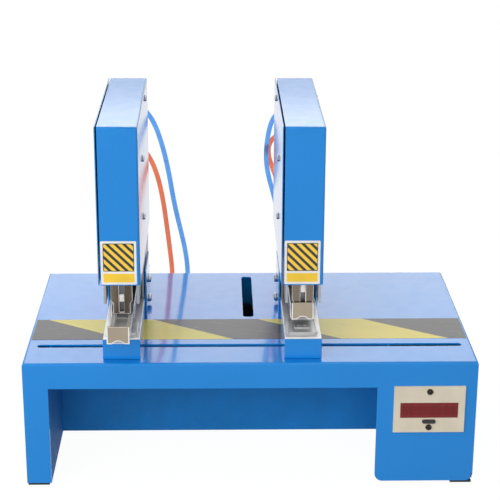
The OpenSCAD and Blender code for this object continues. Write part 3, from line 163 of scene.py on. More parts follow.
class StaplerStage(bpy.types.PropertyGroup):
    """Camera and light."""

    lens: bpy.props.FloatProperty(name="Lens", description="Focal length", default=106.3, unit="CAMERA")
    yaw: bpy.props.FloatProperty(name="Yaw", description="Turn of the camera", default=math.radians(1.341),
                                 subtype="ANGLE")
    pitch: bpy.props.FloatProperty(name="Pitch", description="How far the camera looks down",
                                   default=math.radians(19.233), subtype="ANGLE")
    roll: bpy.props.FloatProperty(name="Roll", description="Roll of the camera", default=math.radians(0.267),
                                  subtype="ANGLE")
    ambient: bpy.props.FloatProperty(name="Ambient", description="Strength of the world's light",
                                     default=0.36)
    key: bpy.props.FloatProperty(name="Key light", description="Power of the soft key light", default=49.0,
                                 unit="POWER")


# Shader helpers

class Shading:
    """A node material with one Principled shader, built step by step."""

    def __init__(self, name, colour, roughness, metallic=0.0, **sockets):
        self.material = bpy.data.materials.new(name)
        self.material.use_nodes = True
        self.tree = self.material.node_tree
        self.shader = self.tree.nodes["Principled BSDF"]
        self.set("Base Color", (*colour, 1))
        self.set("Roughness", roughness)
        self.set("Metallic", metallic)
        for socket, value in sockets.items():
            self.set(socket.replace("_", " "), value)
        self.material.diffuse_color = (*colour, 1)
        self.place = self.add("ShaderNodeTexCoord").outputs["Object"]

    def set(self, socket, value):
        self.shader.inputs[socket].default_value = value

    def add(self, kind, **values):
        node = self.tree.nodes.new(kind)
        for key, value in values.items():
            setattr(node, key, value)
        return node

    def join(self, source, target):
        self.tree.links.new(source, target)

    def stretched(self, scale):
        """Object coordinates scaled along each axis."""
        mapping = self.add("ShaderNodeMapping")
        mapping.inputs["Scale"].default_value = scale
        self.join(self.place, mapping.inputs["Vector"])
        return mapping.outputs["Vector"]

    def noise(self, scale, detail=3.0, stretch=None):
        """Noise value; scale is in features to the metre."""
        node = self.add("ShaderNodeTexNoise")
        node.inputs["Scale"].default_value = scale
        node.inputs["Detail"].default_value = detail
        self.join(self.stretched(stretch) if stretch else self.place, node.inputs["Vector"])
        return node.outputs["Fac"]

    def ramp(self, value, low, high):
        """Value mapped from low..high to 0..1 and held there."""
        node = self.add("ShaderNodeMapRange", clamp=True)
        node.inputs["From Min"].default_value = low
        node.inputs["From Max"].default_value = high
        self.join(value, node.inputs["Value"])
        return node.outputs["Result"]

    def math(self, operation, a, b=None):
        """One arithmetic step on sockets or numbers."""
        node = self.add("ShaderNodeMath", operation=operation)
        for index, item in enumerate((a, b)):
            if item is None:
                continue
            if isinstance(item, (int, float)):
                node.inputs[index].default_value = item
            else:
                self.join(item, node.inputs[index])
        return node.outputs[0]

    def mix(self, factor, a, b):
        """Colour between a and b; each is a colour or a socket."""
        # Inputs 6 and 7 and output 2 of the node are its colour sockets
        node = self.add("ShaderNodeMix", data_type="RGBA")
        self.join(factor, node.inputs[0])
        for index, item in ((6, a), (7, b)):
            if isinstance(item, tuple):
                node.inputs[index].default_value = (*item, 1)
            else:
                self.join(item, node.inputs[index])
        return node.outputs[2]

    def paint(self, colour):
        self.join(colour, self.shader.inputs["Base Color"])

    def rough(self, value, low, high):
        """Roughness between low and high as value goes from 0 to 1."""
        node = self.add("ShaderNodeMapRange")
        node.inputs["To Min"].default_value = low
        node.inputs["To Max"].default_value = high
        self.join(value, node.inputs["Value"])
        self.join(node.outputs["Result"], self.shader.inputs["Roughness"])

    def bump(self, height, strength, distance):
        node = self.add("ShaderNodeBump")
        node.inputs["Strength"].default_value = strength
        node.inputs["Distance"].default_value = distance
        self.join(height, node.inputs["Height"])
        self.join(node.outputs["Normal"], self.shader.inputs["Normal"])


def tint(colour, factor):
    """Colour made lighter or darker."""
    return tuple(min(c * factor, 1.0) for c in colour)


def enamel():
    """Gloss enamel over sheet steel, with the fine ripple of sprayed paint and faint handling marks."""
    base = tuple(bpy.context.scene.stapler_finish.enamel)
    s = Shading("blue_enamel", base, 0.45, Specular_IOR_Level=0.1, Coat_Weight=1.0, Coat_IOR=1.35,
                Coat_Roughness=0.1)
    s.paint(s.mix(s.ramp(s.noise(9, 4), 0.3, 0.7), tint(base, 0.97), tint(base, 1.03)))
    s.rough(s.ramp(s.noise(60, 6, (1, 1, 0.3)), 0.35, 0.75), 0.38, 0.5)
    s.bump(s.noise(650, 2), 0.015, 0.0002)
    return s.material


def rolled_steel(name, colour, low, high, along, depth=0.12, fade=0.14, metal=1.0):
    """Steel with fine rolling lines and slow changes of tone."""
    s = Shading(name, colour, low, metal)
    lines = s.noise(900, 4, along)
    cloud = s.noise(45, 4)
    s.paint(s.mix(s.ramp(cloud, 0.3, 0.75), tint(colour, 1 - fade), tint(colour, 1 + fade / 2)))
    s.rough(s.ramp(lines, 0.3, 0.7), low, high)
    s.bump(lines, depth, 0.00012)
    return s.material


def moulded(name, colour, low, high, grain=1600):
    """Moulded plastic or rubber with a fine grain."""
    s = Shading(name, colour, low)
    s.paint(s.mix(s.ramp(s.noise(30, 3), 0.3, 0.7), tint(colour, 0.92), tint(colour, 1.08)))
    s.rough(s.ramp(s.noise(200, 4), 0.3, 0.7), low, high)
    s.bump(s.noise(grain, 2), 0.15, 0.0001)
    return s.material


def vinyl_tape():
    """Gloss vinyl printed with broad slanted stripes, a little worn where paper slides over it."""
    finish = bpy.context.scene.stapler_finish
    period = bpy.context.scene.stapler_sizes.stripe_period
    pale = tuple(finish.tape_pale)
    dark = tuple(finish.tape_dark)
    s = Shading("striped_tape", pale, 0.4, Specular_IOR_Level=0.2, Coat_Weight=0.4, Coat_IOR=1.4,
                Coat_Roughness=0.2)
    axes = s.add("ShaderNodeSeparateXYZ")
    s.join(s.place, axes.inputs[0])
    slope = 1.55
    shift = 0.2433
    pale_share = 0.497
    slant = s.math("MULTIPLY_ADD", axes.outputs["Y"], slope)
    slant.node.inputs[2].default_value = shift
    along = s.math("ADD", axes.outputs["X"], slant)
    phase = s.math("FRACT", s.math("DIVIDE", along, period))
    stripe = s.math("LESS_THAN", phase, pale_share)
    worn = s.ramp(s.noise(140, 8, (0.25, 1, 1)), 0.56, 0.78)
    scuff = s.math("MULTIPLY", worn, 0.28)
    ink = s.mix(stripe, dark, pale)
    s.paint(s.mix(scuff, ink, (0.42, 0.39, 0.33)))
    s.rough(worn, 0.4, 0.55)
    s.bump(s.noise(260, 4), 0.1, 0.0002)
    return s.material


def display_window():
    """Red filter window with faint vertical ribs behind the gloss."""
    base = tuple(bpy.context.scene.stapler_finish.window)
    s = Shading("display_filter", base, 0.2, Specular_IOR_Level=0.2, Coat_Weight=0.3, Coat_Roughness=0.05)
    ribs = s.noise(500, 2, (1, 1, 0.05))
    s.paint(s.mix(s.ramp(ribs, 0.35, 0.65), tint(base, 0.85), tint(base, 1.1)))
    return s.material


def hose_plastic(name, colour):
    """Translucent polyurethane hose."""
    s = Shading(name, colour, 0.3, Specular_IOR_Level=0.4, Transmission_Weight=0.8, IOR=1.15)
    s.paint(s.mix(s.ramp(s.noise(70, 3), 0.3, 0.7), tint(colour, 0.9), tint(colour, 1.1)))
    s.rough(s.ramp(s.noise(350, 3), 0.3, 0.7), 0.26, 0.38)
    return s.material


def label_stripes():
    """Yellow card field with narrow black slanted bars."""
    base = tuple(bpy.context.scene.stapler_finish.label)
    s = Shading("label_bars", base, 0.35, Coat_Weight=0.4, Coat_Roughness=0.1)
    axes = s.add("ShaderNodeSeparateXYZ")
    s.join(s.place, axes.inputs[0])
    period = 0.0092
    black_share = 0.46
    along = s.math("ADD", axes.outputs["X"], axes.outputs["Z"])
    bar = s.math("LESS_THAN", s.math("FRACT", s.math("DIVIDE", along, period)), black_share)
    speck = s.ramp(s.noise(900, 3), 0.3, 0.7)
    s.paint(s.mix(bar, s.mix(speck, tint(base, 0.95), tint(base, 1.03)), (0.012, 0.012, 0.012)))
    return s.material


def circuit():
    """Green solder mask with tracks."""
    s = Shading("circuit_board", (0.02, 0.14, 0.05), 0.4)
    s.paint(s.mix(s.ramp(s.noise(300, 2, (1, 0.1, 1)), 0.48, 0.56), (0.015, 0.1, 0.04), (0.03, 0.2, 0.08)))
    return s.material


MATERIALS = {}


def make_materials():
    """All the finishes, by name."""
    finish = bpy.context.scene.stapler_finish
    bright = tuple(finish.bright_steel)
    tongue = tuple(finish.tongue_steel)
    nose = tuple(finish.nose_steel)
    plated = tuple(finish.plated_steel)
    MATERIALS.update({
        "enamel": enamel(),
        # Matte paint for the recess and the bottom plate, its enamel made a fifth darker: painted shade of
        # the recess
        "inside": moulded("matte_paint_and_shade", tint(tuple(finish.enamel), 0.8), 0.6, 0.75, 700),
        # Pale drawer steel with part of its metal share taken away, so it lights up as diffuse: partly
        # painted sheen
        "bright": rolled_steel("bright_steel", bright, 0.32, 0.46, (1, 1, 0.06), metal=0.7),
        "tongue": rolled_steel("tongue_steel", tongue, 0.28, 0.32, (1, 1, 0.04), 0.02, 0.06),
        "nose": rolled_steel("nose_steel", nose, 0.26, 0.3, (1, 1, 0.04), 0.02, 0.06),
        # Pale ground steel with half the metal share, so it lights up as diffuse: partly a painted highlight
        # on the ram's key face
        "key": rolled_steel("ground_steel_and_highlight", (0.86, 0.84, 0.81), 0.42, 0.5, (1, 1, 0.1), metal=0.5),
        # Near-white bevels with a small metal share, so they light up as diffuse: worn bright steel with a
        # painted highlight on the edges
        "edge": rolled_steel("worn_edge_and_highlight", (0.93, 0.92, 0.9), 0.3, 0.4, (1, 1, 1), metal=0.3),
        "bed": rolled_steel("bed_steel", (0.66, 0.66, 0.66), 0.34, 0.46, (1, 0.05, 1), metal=0.8),
        "plated": rolled_steel("plated_steel", plated, 0.3, 0.45, (1, 0.2, 0.2)),
        "cast": rolled_steel("forged_steel", (0.23, 0.235, 0.24), 0.4, 0.6, (1, 1, 1)),
        "aluminium": rolled_steel("turned_aluminium", (0.62, 0.63, 0.64), 0.3, 0.42, (0.2, 0.2, 1)),
        "screw": rolled_steel("zinc_screw", (0.55, 0.55, 0.54), 0.25, 0.4, (1, 1, 1)),
        "black_screw": rolled_steel("black_screw", (0.05, 0.045, 0.042), 0.35, 0.5, (1, 1, 1)),
        "rubber": moulded("foot_rubber", (0.012, 0.012, 0.013), 0.6, 0.8),
        "black": moulded("black_plastic", (0.014, 0.014, 0.015), 0.35, 0.5),
        "cream": moulded("cream_plastic", tuple(finish.counter), 0.38, 0.5, 2200),
        # Paler cream for the counter plate's bevels: painted highlight on its edges
        "cream_edge_highlight": moulded("cream_edge_highlight", (0.85, 0.83, 0.77), 0.35, 0.45, 2200),
        "switch_red": moulded("switch_red", (0.27, 0.012, 0.012), 0.2, 0.3),
        "tape": vinyl_tape(),
        "window": display_window(),
        "segment": moulded("dark_segment", (0.1, 0.004, 0.004), 0.75, 0.85),
        "hose_blue": hose_plastic("hose_blue", tuple(finish.hose_blue)),
        "hose_red": hose_plastic("hose_red", tuple(finish.hose_red)),
        "circuit": circuit(),
        "card": moulded("white_card", (0.8, 0.79, 0.76), 0.4, 0.5),
        "label_yellow": moulded("label_yellow", tuple(finish.label), 0.4, 0.5),
        "label_bars": label_stripes(),
    })


FINISH_OF = {
    "table_shell": "enamel", "recess_liner": "inside", "back_panel": "enamel", "bottom_plate": "inside",
    "rubber_feet": "rubber", "hazard_tape": "tape", "counter_plate": "cream", "counter_window": "window",
    "counter_module": "black", "reset_button": "black", "base_screws": "screw", "valve_unit": "aluminium",
    "control_board": "circuit", "power_inlet": "black", "power_switch": "switch_red",
    "foot_socket": "aluminium", "air_inlet": "black", "hose_bulkheads": "black",
    "foot": "enamel", "bed_plate": "bed", "anvil": "bed", "frame": "plated", "brackets": "enamel",
    "screws": "screw", "shell": "enamel", "cover": "enamel", "nose_guide": "nose", "magazine": "plated",
    "cylinder": "aluminium", "pivot_pin": "plated", "fittings": "black", "rocker": "cast",
    "piston_rod": "plated", "ram": "cast", "drawer": "bright", "pusher": "plated", "clamp_knob": "black",
}


def kind_of(node):
    """Node's name without its side."""
    for side in SIDES:
        if node.startswith(side + "_") and not node.endswith("_hose"):
            return node[len(side) + 1:]
    return node


def hose_finish(name):
    """Finish of a hose, by its name."""
    return "hose_blue" if "blue" in name else "hose_red"


def body_of(node):
    """Name of the body that holds a node."""
    for body, members in FRAME["record"]["behaviour"]["bodies"].items():
        if node in members:
            return body
    raise RuntimeError(f"no body holds {node}")


def coat(obj, *names):
    """Gives an object its finishes."""
    obj.data.materials.clear()
    for name in names:
        obj.data.materials.append(MATERIALS[name])


# Mesh helpers

def link(name, data):
    """Object of a mesh, a lamp or a camera, in the scene."""
    obj = bpy.data.objects.new(name, data)
    bpy.context.scene.collection.objects.link(obj)
    return obj


def from_bmesh(name, bm):
    """Object of a finished bmesh, which is freed."""
    mesh = bpy.data.meshes.new(name)
    bm.to_mesh(mesh)
    bm.free()
    return link(name, mesh)


def settle(obj):
    """Applies the modifiers, so that the piece is a plain mesh."""
    graph = bpy.context.evaluated_depsgraph_get()
    mesh = bpy.data.meshes.new_from_object(obj.evaluated_get(graph), depsgraph=graph)
    obj.modifiers.clear()
    obj.data = mesh


def smooth(obj, degrees=35):
    """Smooth shading, with edges sharper than the angle kept."""
    for face in obj.data.polygons:
        face.use_smooth = True
    obj.data.set_sharp_from_angle(angle=math.radians(degrees))


def flatten(obj):
    """Normals weighted by face area, so that flat faces stay flat beside rounded edges."""
    normals = obj.modifiers.new("normals", "WEIGHTED_NORMAL")
    normals.weight = 60
    normals.keep_sharp = True
    settle(obj)


def stud_of(side):
    """Middle of a head's clamp stud, level with the lower edge of its brackets."""
    low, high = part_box(f"{side}_clamp_knob")
    return Vector(((low[0] + high[0]) / 2, (low[1] + high[1]) / 2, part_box(f"{side}_brackets")[0][2]))


def rounded_copy(node, width, shortest=0.0025, rim=None):
    """Copy of a node that stands for it, its longer edges rounded, in a finish of their own if given."""
    bm = bmesh.new()
    bm.from_mesh(NODES[node].data)
    bmesh.ops.remove_doubles(bm, verts=bm.verts, dist=MERGE)
    bmesh.ops.dissolve_limit(bm, angle_limit=FLAT_ANGLE, verts=bm.verts, edges=bm.edges)
    weight = bm.edges.layers.float.new("bevel_weight_edge")
    for edge in bm.edges:
        if len(edge.link_faces) != 2 or edge.calc_length() < shortest:
            continue
        if edge.calc_face_angle(0) > SHARP_ANGLE:
            edge[weight] = 1
    obj = from_bmesh(f"{node}.finished", bm)
    bevel = obj.modifiers.new("edges", "BEVEL")
    bevel.width = width
    bevel.segments = 2
    bevel.limit_method = "WEIGHT"
    bevel.use_clamp_overlap = True
    bevel.miter_outer = "MITER_ARC"
    coat(obj, FINISH_OF[kind_of(node)])
    if rim:
        obj.data.materials.append(MATERIALS[rim])
        bevel.material = 1
    settle(obj)
    smooth(obj)
    flatten(obj)
    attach(obj, body_of(node))
    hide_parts(node)
    return obj


# Geometry Nodes helpers

def tree_with(name, *inputs):
    """Geometry Nodes tree with a geometry input and output, and named inputs."""
    tree = bpy.data.node_groups.new(name, "GeometryNodeTree")
    tree.interface.new_socket("Geometry", in_out="INPUT", socket_type="NodeSocketGeometry")
    for label, kind, value in inputs:
        socket = tree.interface.new_socket(label, in_out="INPUT", socket_type=kind)
        if value is not None:
            socket.default_value = value
    tree.interface.new_socket("Geometry", in_out="OUTPUT", socket_type="NodeSocketGeometry")
    return tree, tree.nodes.new("NodeGroupInput"), tree.nodes.new("NodeGroupOutput")


def identifier(tree, label):
    """Identifier of a tree's input."""
    for item in tree.interface.items_tree:
        if item.in_out == "INPUT" and item.name == label:
            return item.identifier
    raise RuntimeError(f"no input {label}")


def scatter_tree():
    """Copies of an object on points, each with its +Z along the point's way and turned by its spin."""
    tree, start, end = tree_with(
        "scatter", ("Shape", "NodeSocketObject", None), ("Size", "NodeSocketFloat", 1.0),
        ("Finish", "NodeSocketMaterial", None))
    new = tree.nodes.new
    link_up = tree.links.new
    shape = new("GeometryNodeObjectInfo")
    link_up(start.outputs["Shape"], shape.inputs["Object"])
    of_point = {}
    for label, kind in (("way", "FLOAT_VECTOR"), ("spin", "FLOAT"), ("reach", "FLOAT")):
        node = new("GeometryNodeInputNamedAttribute")
        node.data_type = kind
        node.inputs["Name"].default_value = label
        of_point[label] = node.outputs["Attribute"]
    align = new("FunctionNodeAlignRotationToVector")
    align.axis = "Z"
    link_up(of_point["way"], align.inputs["Vector"])
    turn = new("FunctionNodeAxisAngleToRotation")
    turn.inputs["Axis"].default_value = (0, 0, 1)
    link_up(of_point["spin"], turn.inputs["Angle"])
    both = new("FunctionNodeRotateRotation")
    both.rotation_space = "LOCAL"
    link_up(align.outputs["Rotation"], both.inputs["Rotation"])
    link_up(turn.outputs["Rotation"], both.inputs["Rotate By"])
    grow = new("ShaderNodeMath")
    grow.operation = "MULTIPLY"
    link_up(of_point["reach"], grow.inputs[0])
    link_up(start.outputs["Size"], grow.inputs[1])
    place = new("GeometryNodeInstanceOnPoints")
    link_up(start.outputs["Geometry"], place.inputs["Points"])
    link_up(shape.outputs["Geometry"], place.inputs["Instance"])
    link_up(both.outputs["Rotation"], place.inputs["Rotation"])
    link_up(grow.outputs["Value"], place.inputs["Scale"])
    real = new("GeometryNodeRealizeInstances")
    link_up(place.outputs["Instances"], real.inputs["Geometry"])
    cover = new("GeometryNodeSetMaterial")
    link_up(real.outputs["Geometry"], cover.inputs["Geometry"])
    link_up(start.outputs["Finish"], cover.inputs["Material"])
    link_up(cover.outputs["Geometry"], end.inputs["Geometry"])
    return tree


def scatter(name, places, shape, finish):
    """Plain mesh of the shape on each place: (point, way, spin, reach)."""
    mesh = bpy.data.meshes.new(name)
    mesh.from_pydata([tuple(p) for p, _, _, _ in places], [], [])
    way = [number for _, direction, _, _ in places for number in direction]
    mesh.attributes.new("way", "FLOAT_VECTOR", "POINT").data.foreach_set("vector", way)
    for label, column in (("spin", 2), ("reach", 3)):
        values = [place[column] for place in places]
        mesh.attributes.new(label, "FLOAT", "POINT").data.foreach_set("value", values)
    obj = link(name, mesh)
    tree = bpy.data.node_groups.get("scatter") or scatter_tree()
    modifier = obj.modifiers.new("scatter", "NODES")
    modifier.node_group = tree
    modifier[identifier(tree, "Shape")] = shape
    modifier[identifier(tree, "Size")] = 1.0
    modifier[identifier(tree, "Finish")] = MATERIALS[finish]
    settle(obj)
    smooth(obj)
    return obj


def join_into(target, others):
    """Adds other meshes to a target object's mesh, finishes included."""
    bm = bmesh.new()
    names = []
    for obj in [target, *others]:
        first = len(bm.faces)
        start = len(names)
        names.extend(obj.data.materials)
        bm.from_mesh(obj.data)
        bm.faces.ensure_lookup_table()
        for face in bm.faces[first:]:
            face.material_index += start
    mesh = bpy.data.meshes.new(target.name)
    for material in names:
        mesh.materials.append(material)
    bm.to_mesh(mesh)
    bm.free()
    target.data = mesh
    for obj in others:
        bpy.data.objects.remove(obj)


def profile_ring(bm, points, sides, phase=0.0):
    """Turned solid about Z from (radius, height) points; a radius of zero closes the end."""
    rings = []
    for radius, height in points:
        if radius == 0:
            rings.append([bm.verts.new((0, 0, height))])
            continue
        rings.append([bm.verts.new((radius * math.cos(phase + math.tau * k / sides),
                                    radius * math.sin(phase + math.tau * k / sides), height))
                      for k in range(sides)])
    for low, high in zip(rings, rings[1:]):
        for k in range(sides):
            j = (k + 1) % sides
            if len(low) == 1:
                bm.faces.new((low[0], high[j], high[k]))
            elif len(high) == 1:
                bm.faces.new((low[k], low[j], high[0]))
            else:
                bm.faces.new((low[k], low[j], high[j], high[k]))


def screw_shape(name, shank, length, head, height):
    """Pan-head screw with a cross recess; its head's top is at the origin and it points up."""
    bm = bmesh.new()
    r = head / 2
    tail = -height - length
    profile_ring(bm, [(0, tail), (shank / 2 * 0.8, tail), (shank / 2, tail + 0.0004), (shank / 2, -height),
                      (r * 0.97, -height), (r, -height * 0.82), (r, -height * 0.5), (r * 0.9, -height * 0.18),
                      (r * 0.7, -height * 0.03), (0, 0)], 32)
    bmesh.ops.recalc_face_normals(bm, faces=bm.faces)
    screw = from_bmesh(name, bm)
    cutter = bmesh.new()
    for angle in (0, math.pi / 2):
        bmesh.ops.create_cube(cutter, size=1, matrix=Matrix.Rotation(angle, 4, "Z") @ Matrix.Diagonal(
            (r * 1.15, r * 0.24, height * 1.1, 1)))
    tool = from_bmesh(name + ".recess", cutter)
    cross = screw.modifiers.new("recess", "BOOLEAN")
    cross.object = tool
    cross.operation = "DIFFERENCE"
    cross.solver = "EXACT"
    cross.use_self = True
    settle(screw)
    bpy.data.objects.remove(tool)
    return screw


# Operators

class STAPLER_OT_finishes(bpy.types.Operator):
    """Make the finishes and give every piece of the machine its own"""

    bl_idname = "stapler.finishes"
    bl_label = "Finishes"

    def execute(self, context):
        make_materials()
        for name, obj in NODES.items():
            if name in HOSE_ROUTES:
                coat(obj, hose_finish(name))
            else:
                coat(obj, FINISH_OF[kind_of(name)])
        return {"FINISHED"}


class STAPLER_OT_hoses(bpy.types.Operator):
    """Make the air hoses along their routes"""

    bl_idname = "stapler.hoses"
    bl_label = "Air hoses"

    steps = 8
    sides = 20

    def route(self, points):
        """Smooth curve through the points, in metres."""
        pts = [Vector((x, y + TABLE_Y, z)) * MM for x, y, z in points]
        ext = [pts[0], *pts, pts[-1]]
        line = []
        for a, b, c, d in zip(ext, ext[1:], ext[2:], ext[3:]):
            for k in range(self.steps):
                t = k / self.steps
                line.append(0.5 * (2 * b + (c - a) * t + (2 * a - 5 * b + 4 * c - d) * t * t
                                   + (3 * b - a - 3 * c + d) * t ** 3))
        line.append(pts[-1])
        return line

    def execute(self, context):
        radius = context.scene.stapler_sizes.hose / 2
        for name, points in HOSE_ROUTES.items():
            line = self.route(points)
            bm = bmesh.new()
            rings = []
            last = len(line) - 1
            for index, centre in enumerate(line):
                way = line[min(index + 1, last)] - line[max(index - 1, 0)]
                if index in (0, last):
                    way = Vector((0, way.y, 0))
                way.normalize()
                m = way.cross(Vector((1, 0, 0))).normalized()
                n = way.cross(m)
                rings.append([bm.verts.new(centre + radius * (m * math.cos(math.tau * k / self.sides)
                                                              + n * math.sin(math.tau * k / self.sides)))
                              for k in range(self.sides)])
            for low, high in zip(rings, rings[1:]):
                for k in range(self.sides):
                    j = (k + 1) % self.sides
                    bm.faces.new((low[k], low[j], high[j], high[k]))
            bm.faces.new(rings[0])
            bm.faces.new(rings[-1])
            bmesh.ops.recalc_face_normals(bm, faces=bm.faces)
            obj = from_bmesh(f"{name}.tube", bm)
            smooth(obj, degrees=60)
            coat(obj, hose_finish(name))
            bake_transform(obj)
            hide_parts(name)
        return {"FINISHED"}


class STAPLER_OT_sheet_metal(bpy.types.Operator):
    """Round the edges of the painted table and heads"""

    bl_idname = "stapler.sheet_metal"
    bl_label = "Sheet metal"

    def execute(self, context):
        width = context.scene.stapler_sizes.edge
        for node in ("table_shell", "recess_liner", "back_panel", "bottom_plate", "rubber_feet"):
            rounded_copy(node, width)
        for side in SIDES:
            for kind in ("foot", "shell", "cover", "brackets"):
                rounded_copy(f"{side}_{kind}", width)
        return {"FINISHED"}


class STAPLER_OT_steelwork(bpy.types.Operator):
    """Round the edges of the steel plates and turned pieces of the heads"""

    bl_idname = "stapler.steelwork"
    bl_label = "Steelwork"

    nose_t = 0.003
    tongue_t = 0.0021
    shortest = 0.0012

    def execute(self, context):
        sizes = context.scene.stapler_sizes
        width = sizes.plate_edge
        for side in SIDES:
            for kind in ("bed_plate", "anvil", "nose_guide", "magazine"):
                # Their bevels get the bright edge finish: worn steel with a painted highlight
                rounded_copy(f"{side}_{kind}", sizes.worn_edge_and_highlight, self.shortest, "edge")
            drawer = rounded_copy(f"{side}_drawer", sizes.worn_edge_and_highlight, self.shortest, "edge")
            self.front_finish(drawer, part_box(f"{side}_drawer")[0][1] + self.tongue_t, "tongue")
            # A bright rim on the tongue's front: worn steel with a painted highlight
            self.worn_rim_and_highlight(drawer, sizes.tongue_rim_and_highlight)
            for kind in ("frame", "pusher", "rocker", "piston_rod", "clamp_knob", "fittings", "cylinder"):
                rounded_copy(f"{side}_{kind}", width, self.shortest)
            ram = rounded_copy(f"{side}_ram", width, self.shortest)
            # The ram's front key gets pale ground steel with a painted highlight
            self.front_finish(ram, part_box(f"{side}_nose_guide")[0][1] + self.nose_t, "key")
        return {"FINISHED"}

    def front_finish(self, obj, back, finish):
        """Another finish on the faces in front of a depth, but not on the bright edges, which are worn steel
        with a painted highlight.
        """
        slot = len(obj.data.materials)
        obj.data.materials.append(MATERIALS[finish])
        for face in obj.data.polygons:
            if face.material_index == 0 and (obj.matrix_world @ face.center).y < back:
                face.material_index = slot

    def worn_rim_and_highlight(self, obj, width):
        """Bright rim along the sides and the lower edge of the largest face that looks to the front, worn
        steel with a painted highlight.
        """
        bm = bmesh.new()
        bm.from_mesh(obj.data)
        face = max((f for f in bm.faces if f.normal.y < -0.99), key=lambda f: f.calc_area())
        top = max(v.co.z for v in face.verts)
        rim = bmesh.ops.inset_individual(bm, faces=[face], thickness=width, use_even_offset=True)["faces"]
        for piece in rim:
            if piece.calc_center_median().z < top - width:
                piece.material_index = 1
        bm.to_mesh(obj.data)
        bm.free()
        flatten(obj)


class STAPLER_OT_screws(bpy.types.Operator):
    """Put cross-recess screws on the heads, the back and the counter"""

    bl_idname = "stapler.screws"
    bl_label = "Screws"

    # Heights of the heads
    big_head = 0.0035
    small_head = 0.0022
    tiny_head = 0.002
    # Places on a head, behind its clamp stud and above the lower edge of its brackets
    bracket_back = 0.131
    bracket_rises = (0.00735, 0.0316)
    box_places = ((0.148, 0.2485), (0.068, 0.1984), (0.068, 0.1303))
    # Places on the table
    counter_rise = 0.0215
    panel_x = 0.242
    panel_y = 0.1515
    panel_zs = (0.02, 0.121)
    bottom_x = 0.243
    bottom_ys = (-0.0955, 0.1125)
    bottom_z = 0.0008

    def execute(self, context):
        big = screw_shape("big_screw", shank=0.0055, length=0.006, head=0.010, height=self.big_head)
        small = screw_shape("small_screw", shank=0.004, length=0.005, head=0.008, height=self.small_head)
        tiny = screw_shape("tiny_screw", shank=0.003, length=0.006, head=0.007, height=self.tiny_head)
        for number, side in enumerate(SIDES):
            node = f"{side}_screws"
            stud = stud_of(side)
            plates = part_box(f"{side}_brackets")
            walls = (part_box(f"{side}_cover")[0][0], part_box(f"{side}_shell")[1][0])
            bracket = []
            box = []
            for k, s in enumerate((-1, 1)):
                for turn, rise in enumerate(self.bracket_rises):
                    face = plates[k][0] + s * self.big_head
                    place = Vector((face, stud.y + self.bracket_back, stud.z + rise))
                    bracket.append((place, (s, 0, 0), 0.5 + turn + number, 1.0))
                for turn, (back, rise) in enumerate(self.box_places):
                    place = Vector((walls[k] + s * self.small_head, stud.y + back, stud.z + rise))
                    box.append((place, (s, 0, 0), 0.3 + 0.7 * turn + number, 1.0))
            obj = scatter(f"{node}.heads", bracket, big, "screw")
            join_into(obj, [scatter(f"{node}.box", box, small, "screw")])
            smooth(obj)
            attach(obj, body_of(node))
            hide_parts(node)
        self.table_screws(small, tiny)
        for shape in (big, small, tiny):
            bpy.data.objects.remove(shape)
        return {"FINISHED"}

    def table_screws(self, small, tiny):
        """Screws of the back panel, the bottom plate and the counter."""
        low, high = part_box("counter_plate")
        middle = (Vector(low) + Vector(high)) / 2
        counter = []
        rest = []
        for s in (-1, 1):
            place = Vector((middle.x, low[1] - self.tiny_head, middle.z + s * self.counter_rise))
            counter.append((place, (0, -1, 0), 0.4 * s, 1.0))
            for k, z in enumerate(self.panel_zs):
                place = Vector((s * self.panel_x, self.panel_y + self.small_head, z))
                rest.append((place, (0, 1, 0), 0.3 + k, 1.0))
            for k, y in enumerate(self.bottom_ys):
                rest.append((Vector((s * self.bottom_x, y, self.bottom_z)), (0, 0, -1), 0.8 * k, 1.0))
        obj = scatter("base_screws.counter", counter, tiny, "black_screw")
        join_into(obj, [scatter("base_screws.panels", rest, small, "screw")])
        smooth(obj)
        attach(obj, "base")
        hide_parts("base_screws")


class STAPLER_OT_counter(bpy.types.Operator):
    """Finish the counter: plate, window, digits and button"""

    bl_idname = "stapler.counter"
    bl_label = "Counter"

    digits = 8
    plate_rim = 0.0006
    small_edge = 0.0004
    shortest = 0.0012
    digits_proud = 0.00003
    across_share = 0.86
    upright_share = 0.9

    def bar(self):
        """One display segment, a flat bar with pointed ends, along X and facing +Z."""
        bm = bmesh.new()
        length, half, thick = 1.0, 0.13, 0.012
        outline = [(-length / 2, 0), (-length / 2 + half, -half), (length / 2 - half, -half), (length / 2, 0),
                   (length / 2 - half, half), (-length / 2 + half, half)]
        low = [bm.verts.new((x, y, -thick)) for x, y in outline]
        high = [bm.verts.new((x, y, 0)) for x, y in outline]
        bm.faces.new(reversed(low))
        bm.faces.new(high)
        for k in range(len(outline)):
            j = (k + 1) % len(outline)
            bm.faces.new((low[k], low[j], high[j], high[k]))
        return from_bmesh("segment", bm)

    def execute(self, context):
        sizes = context.scene.stapler_sizes
        # Its bevels get the paler cream: painted highlight
        rounded_copy("counter_plate", self.plate_rim, self.shortest, "cream_edge_highlight")
        for node in ("counter_window", "reset_button"):
            rounded_copy(node, self.small_edge, self.shortest)
        low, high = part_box("counter_window")
        middle = (Vector(low) + Vector(high)) / 2
        face = low[1] - self.digits_proud
        w, h = sizes.digit_w, sizes.digit_h
        across = [(0, h / 2), (0, 0), (0, -h / 2)]
        upright = [(s * w / 2, t * h / 4) for s in (-1, 1) for t in (-1, 1)]
        flat = w * self.across_share
        tall = h / 2 * self.upright_share
        places = []
        for k in range(self.digits):
            x0 = middle.x + (k - (self.digits - 1) / 2) * sizes.digit_pitch
            for dx, dz in across:
                places.append((Vector((x0 + dx, face, middle.z + dz)), (0, -1, 0), 0.0, flat))
            for dx, dz in upright:
                places.append((Vector((x0 + dx, face, middle.z + dz)), (0, -1, 0), math.pi / 2, tall))
        shape = self.bar()
        obj = scatter("counter_window.digits", places, shape, "segment")
        bpy.data.objects.remove(shape)
        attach(obj, "base")
        return {"FINISHED"}


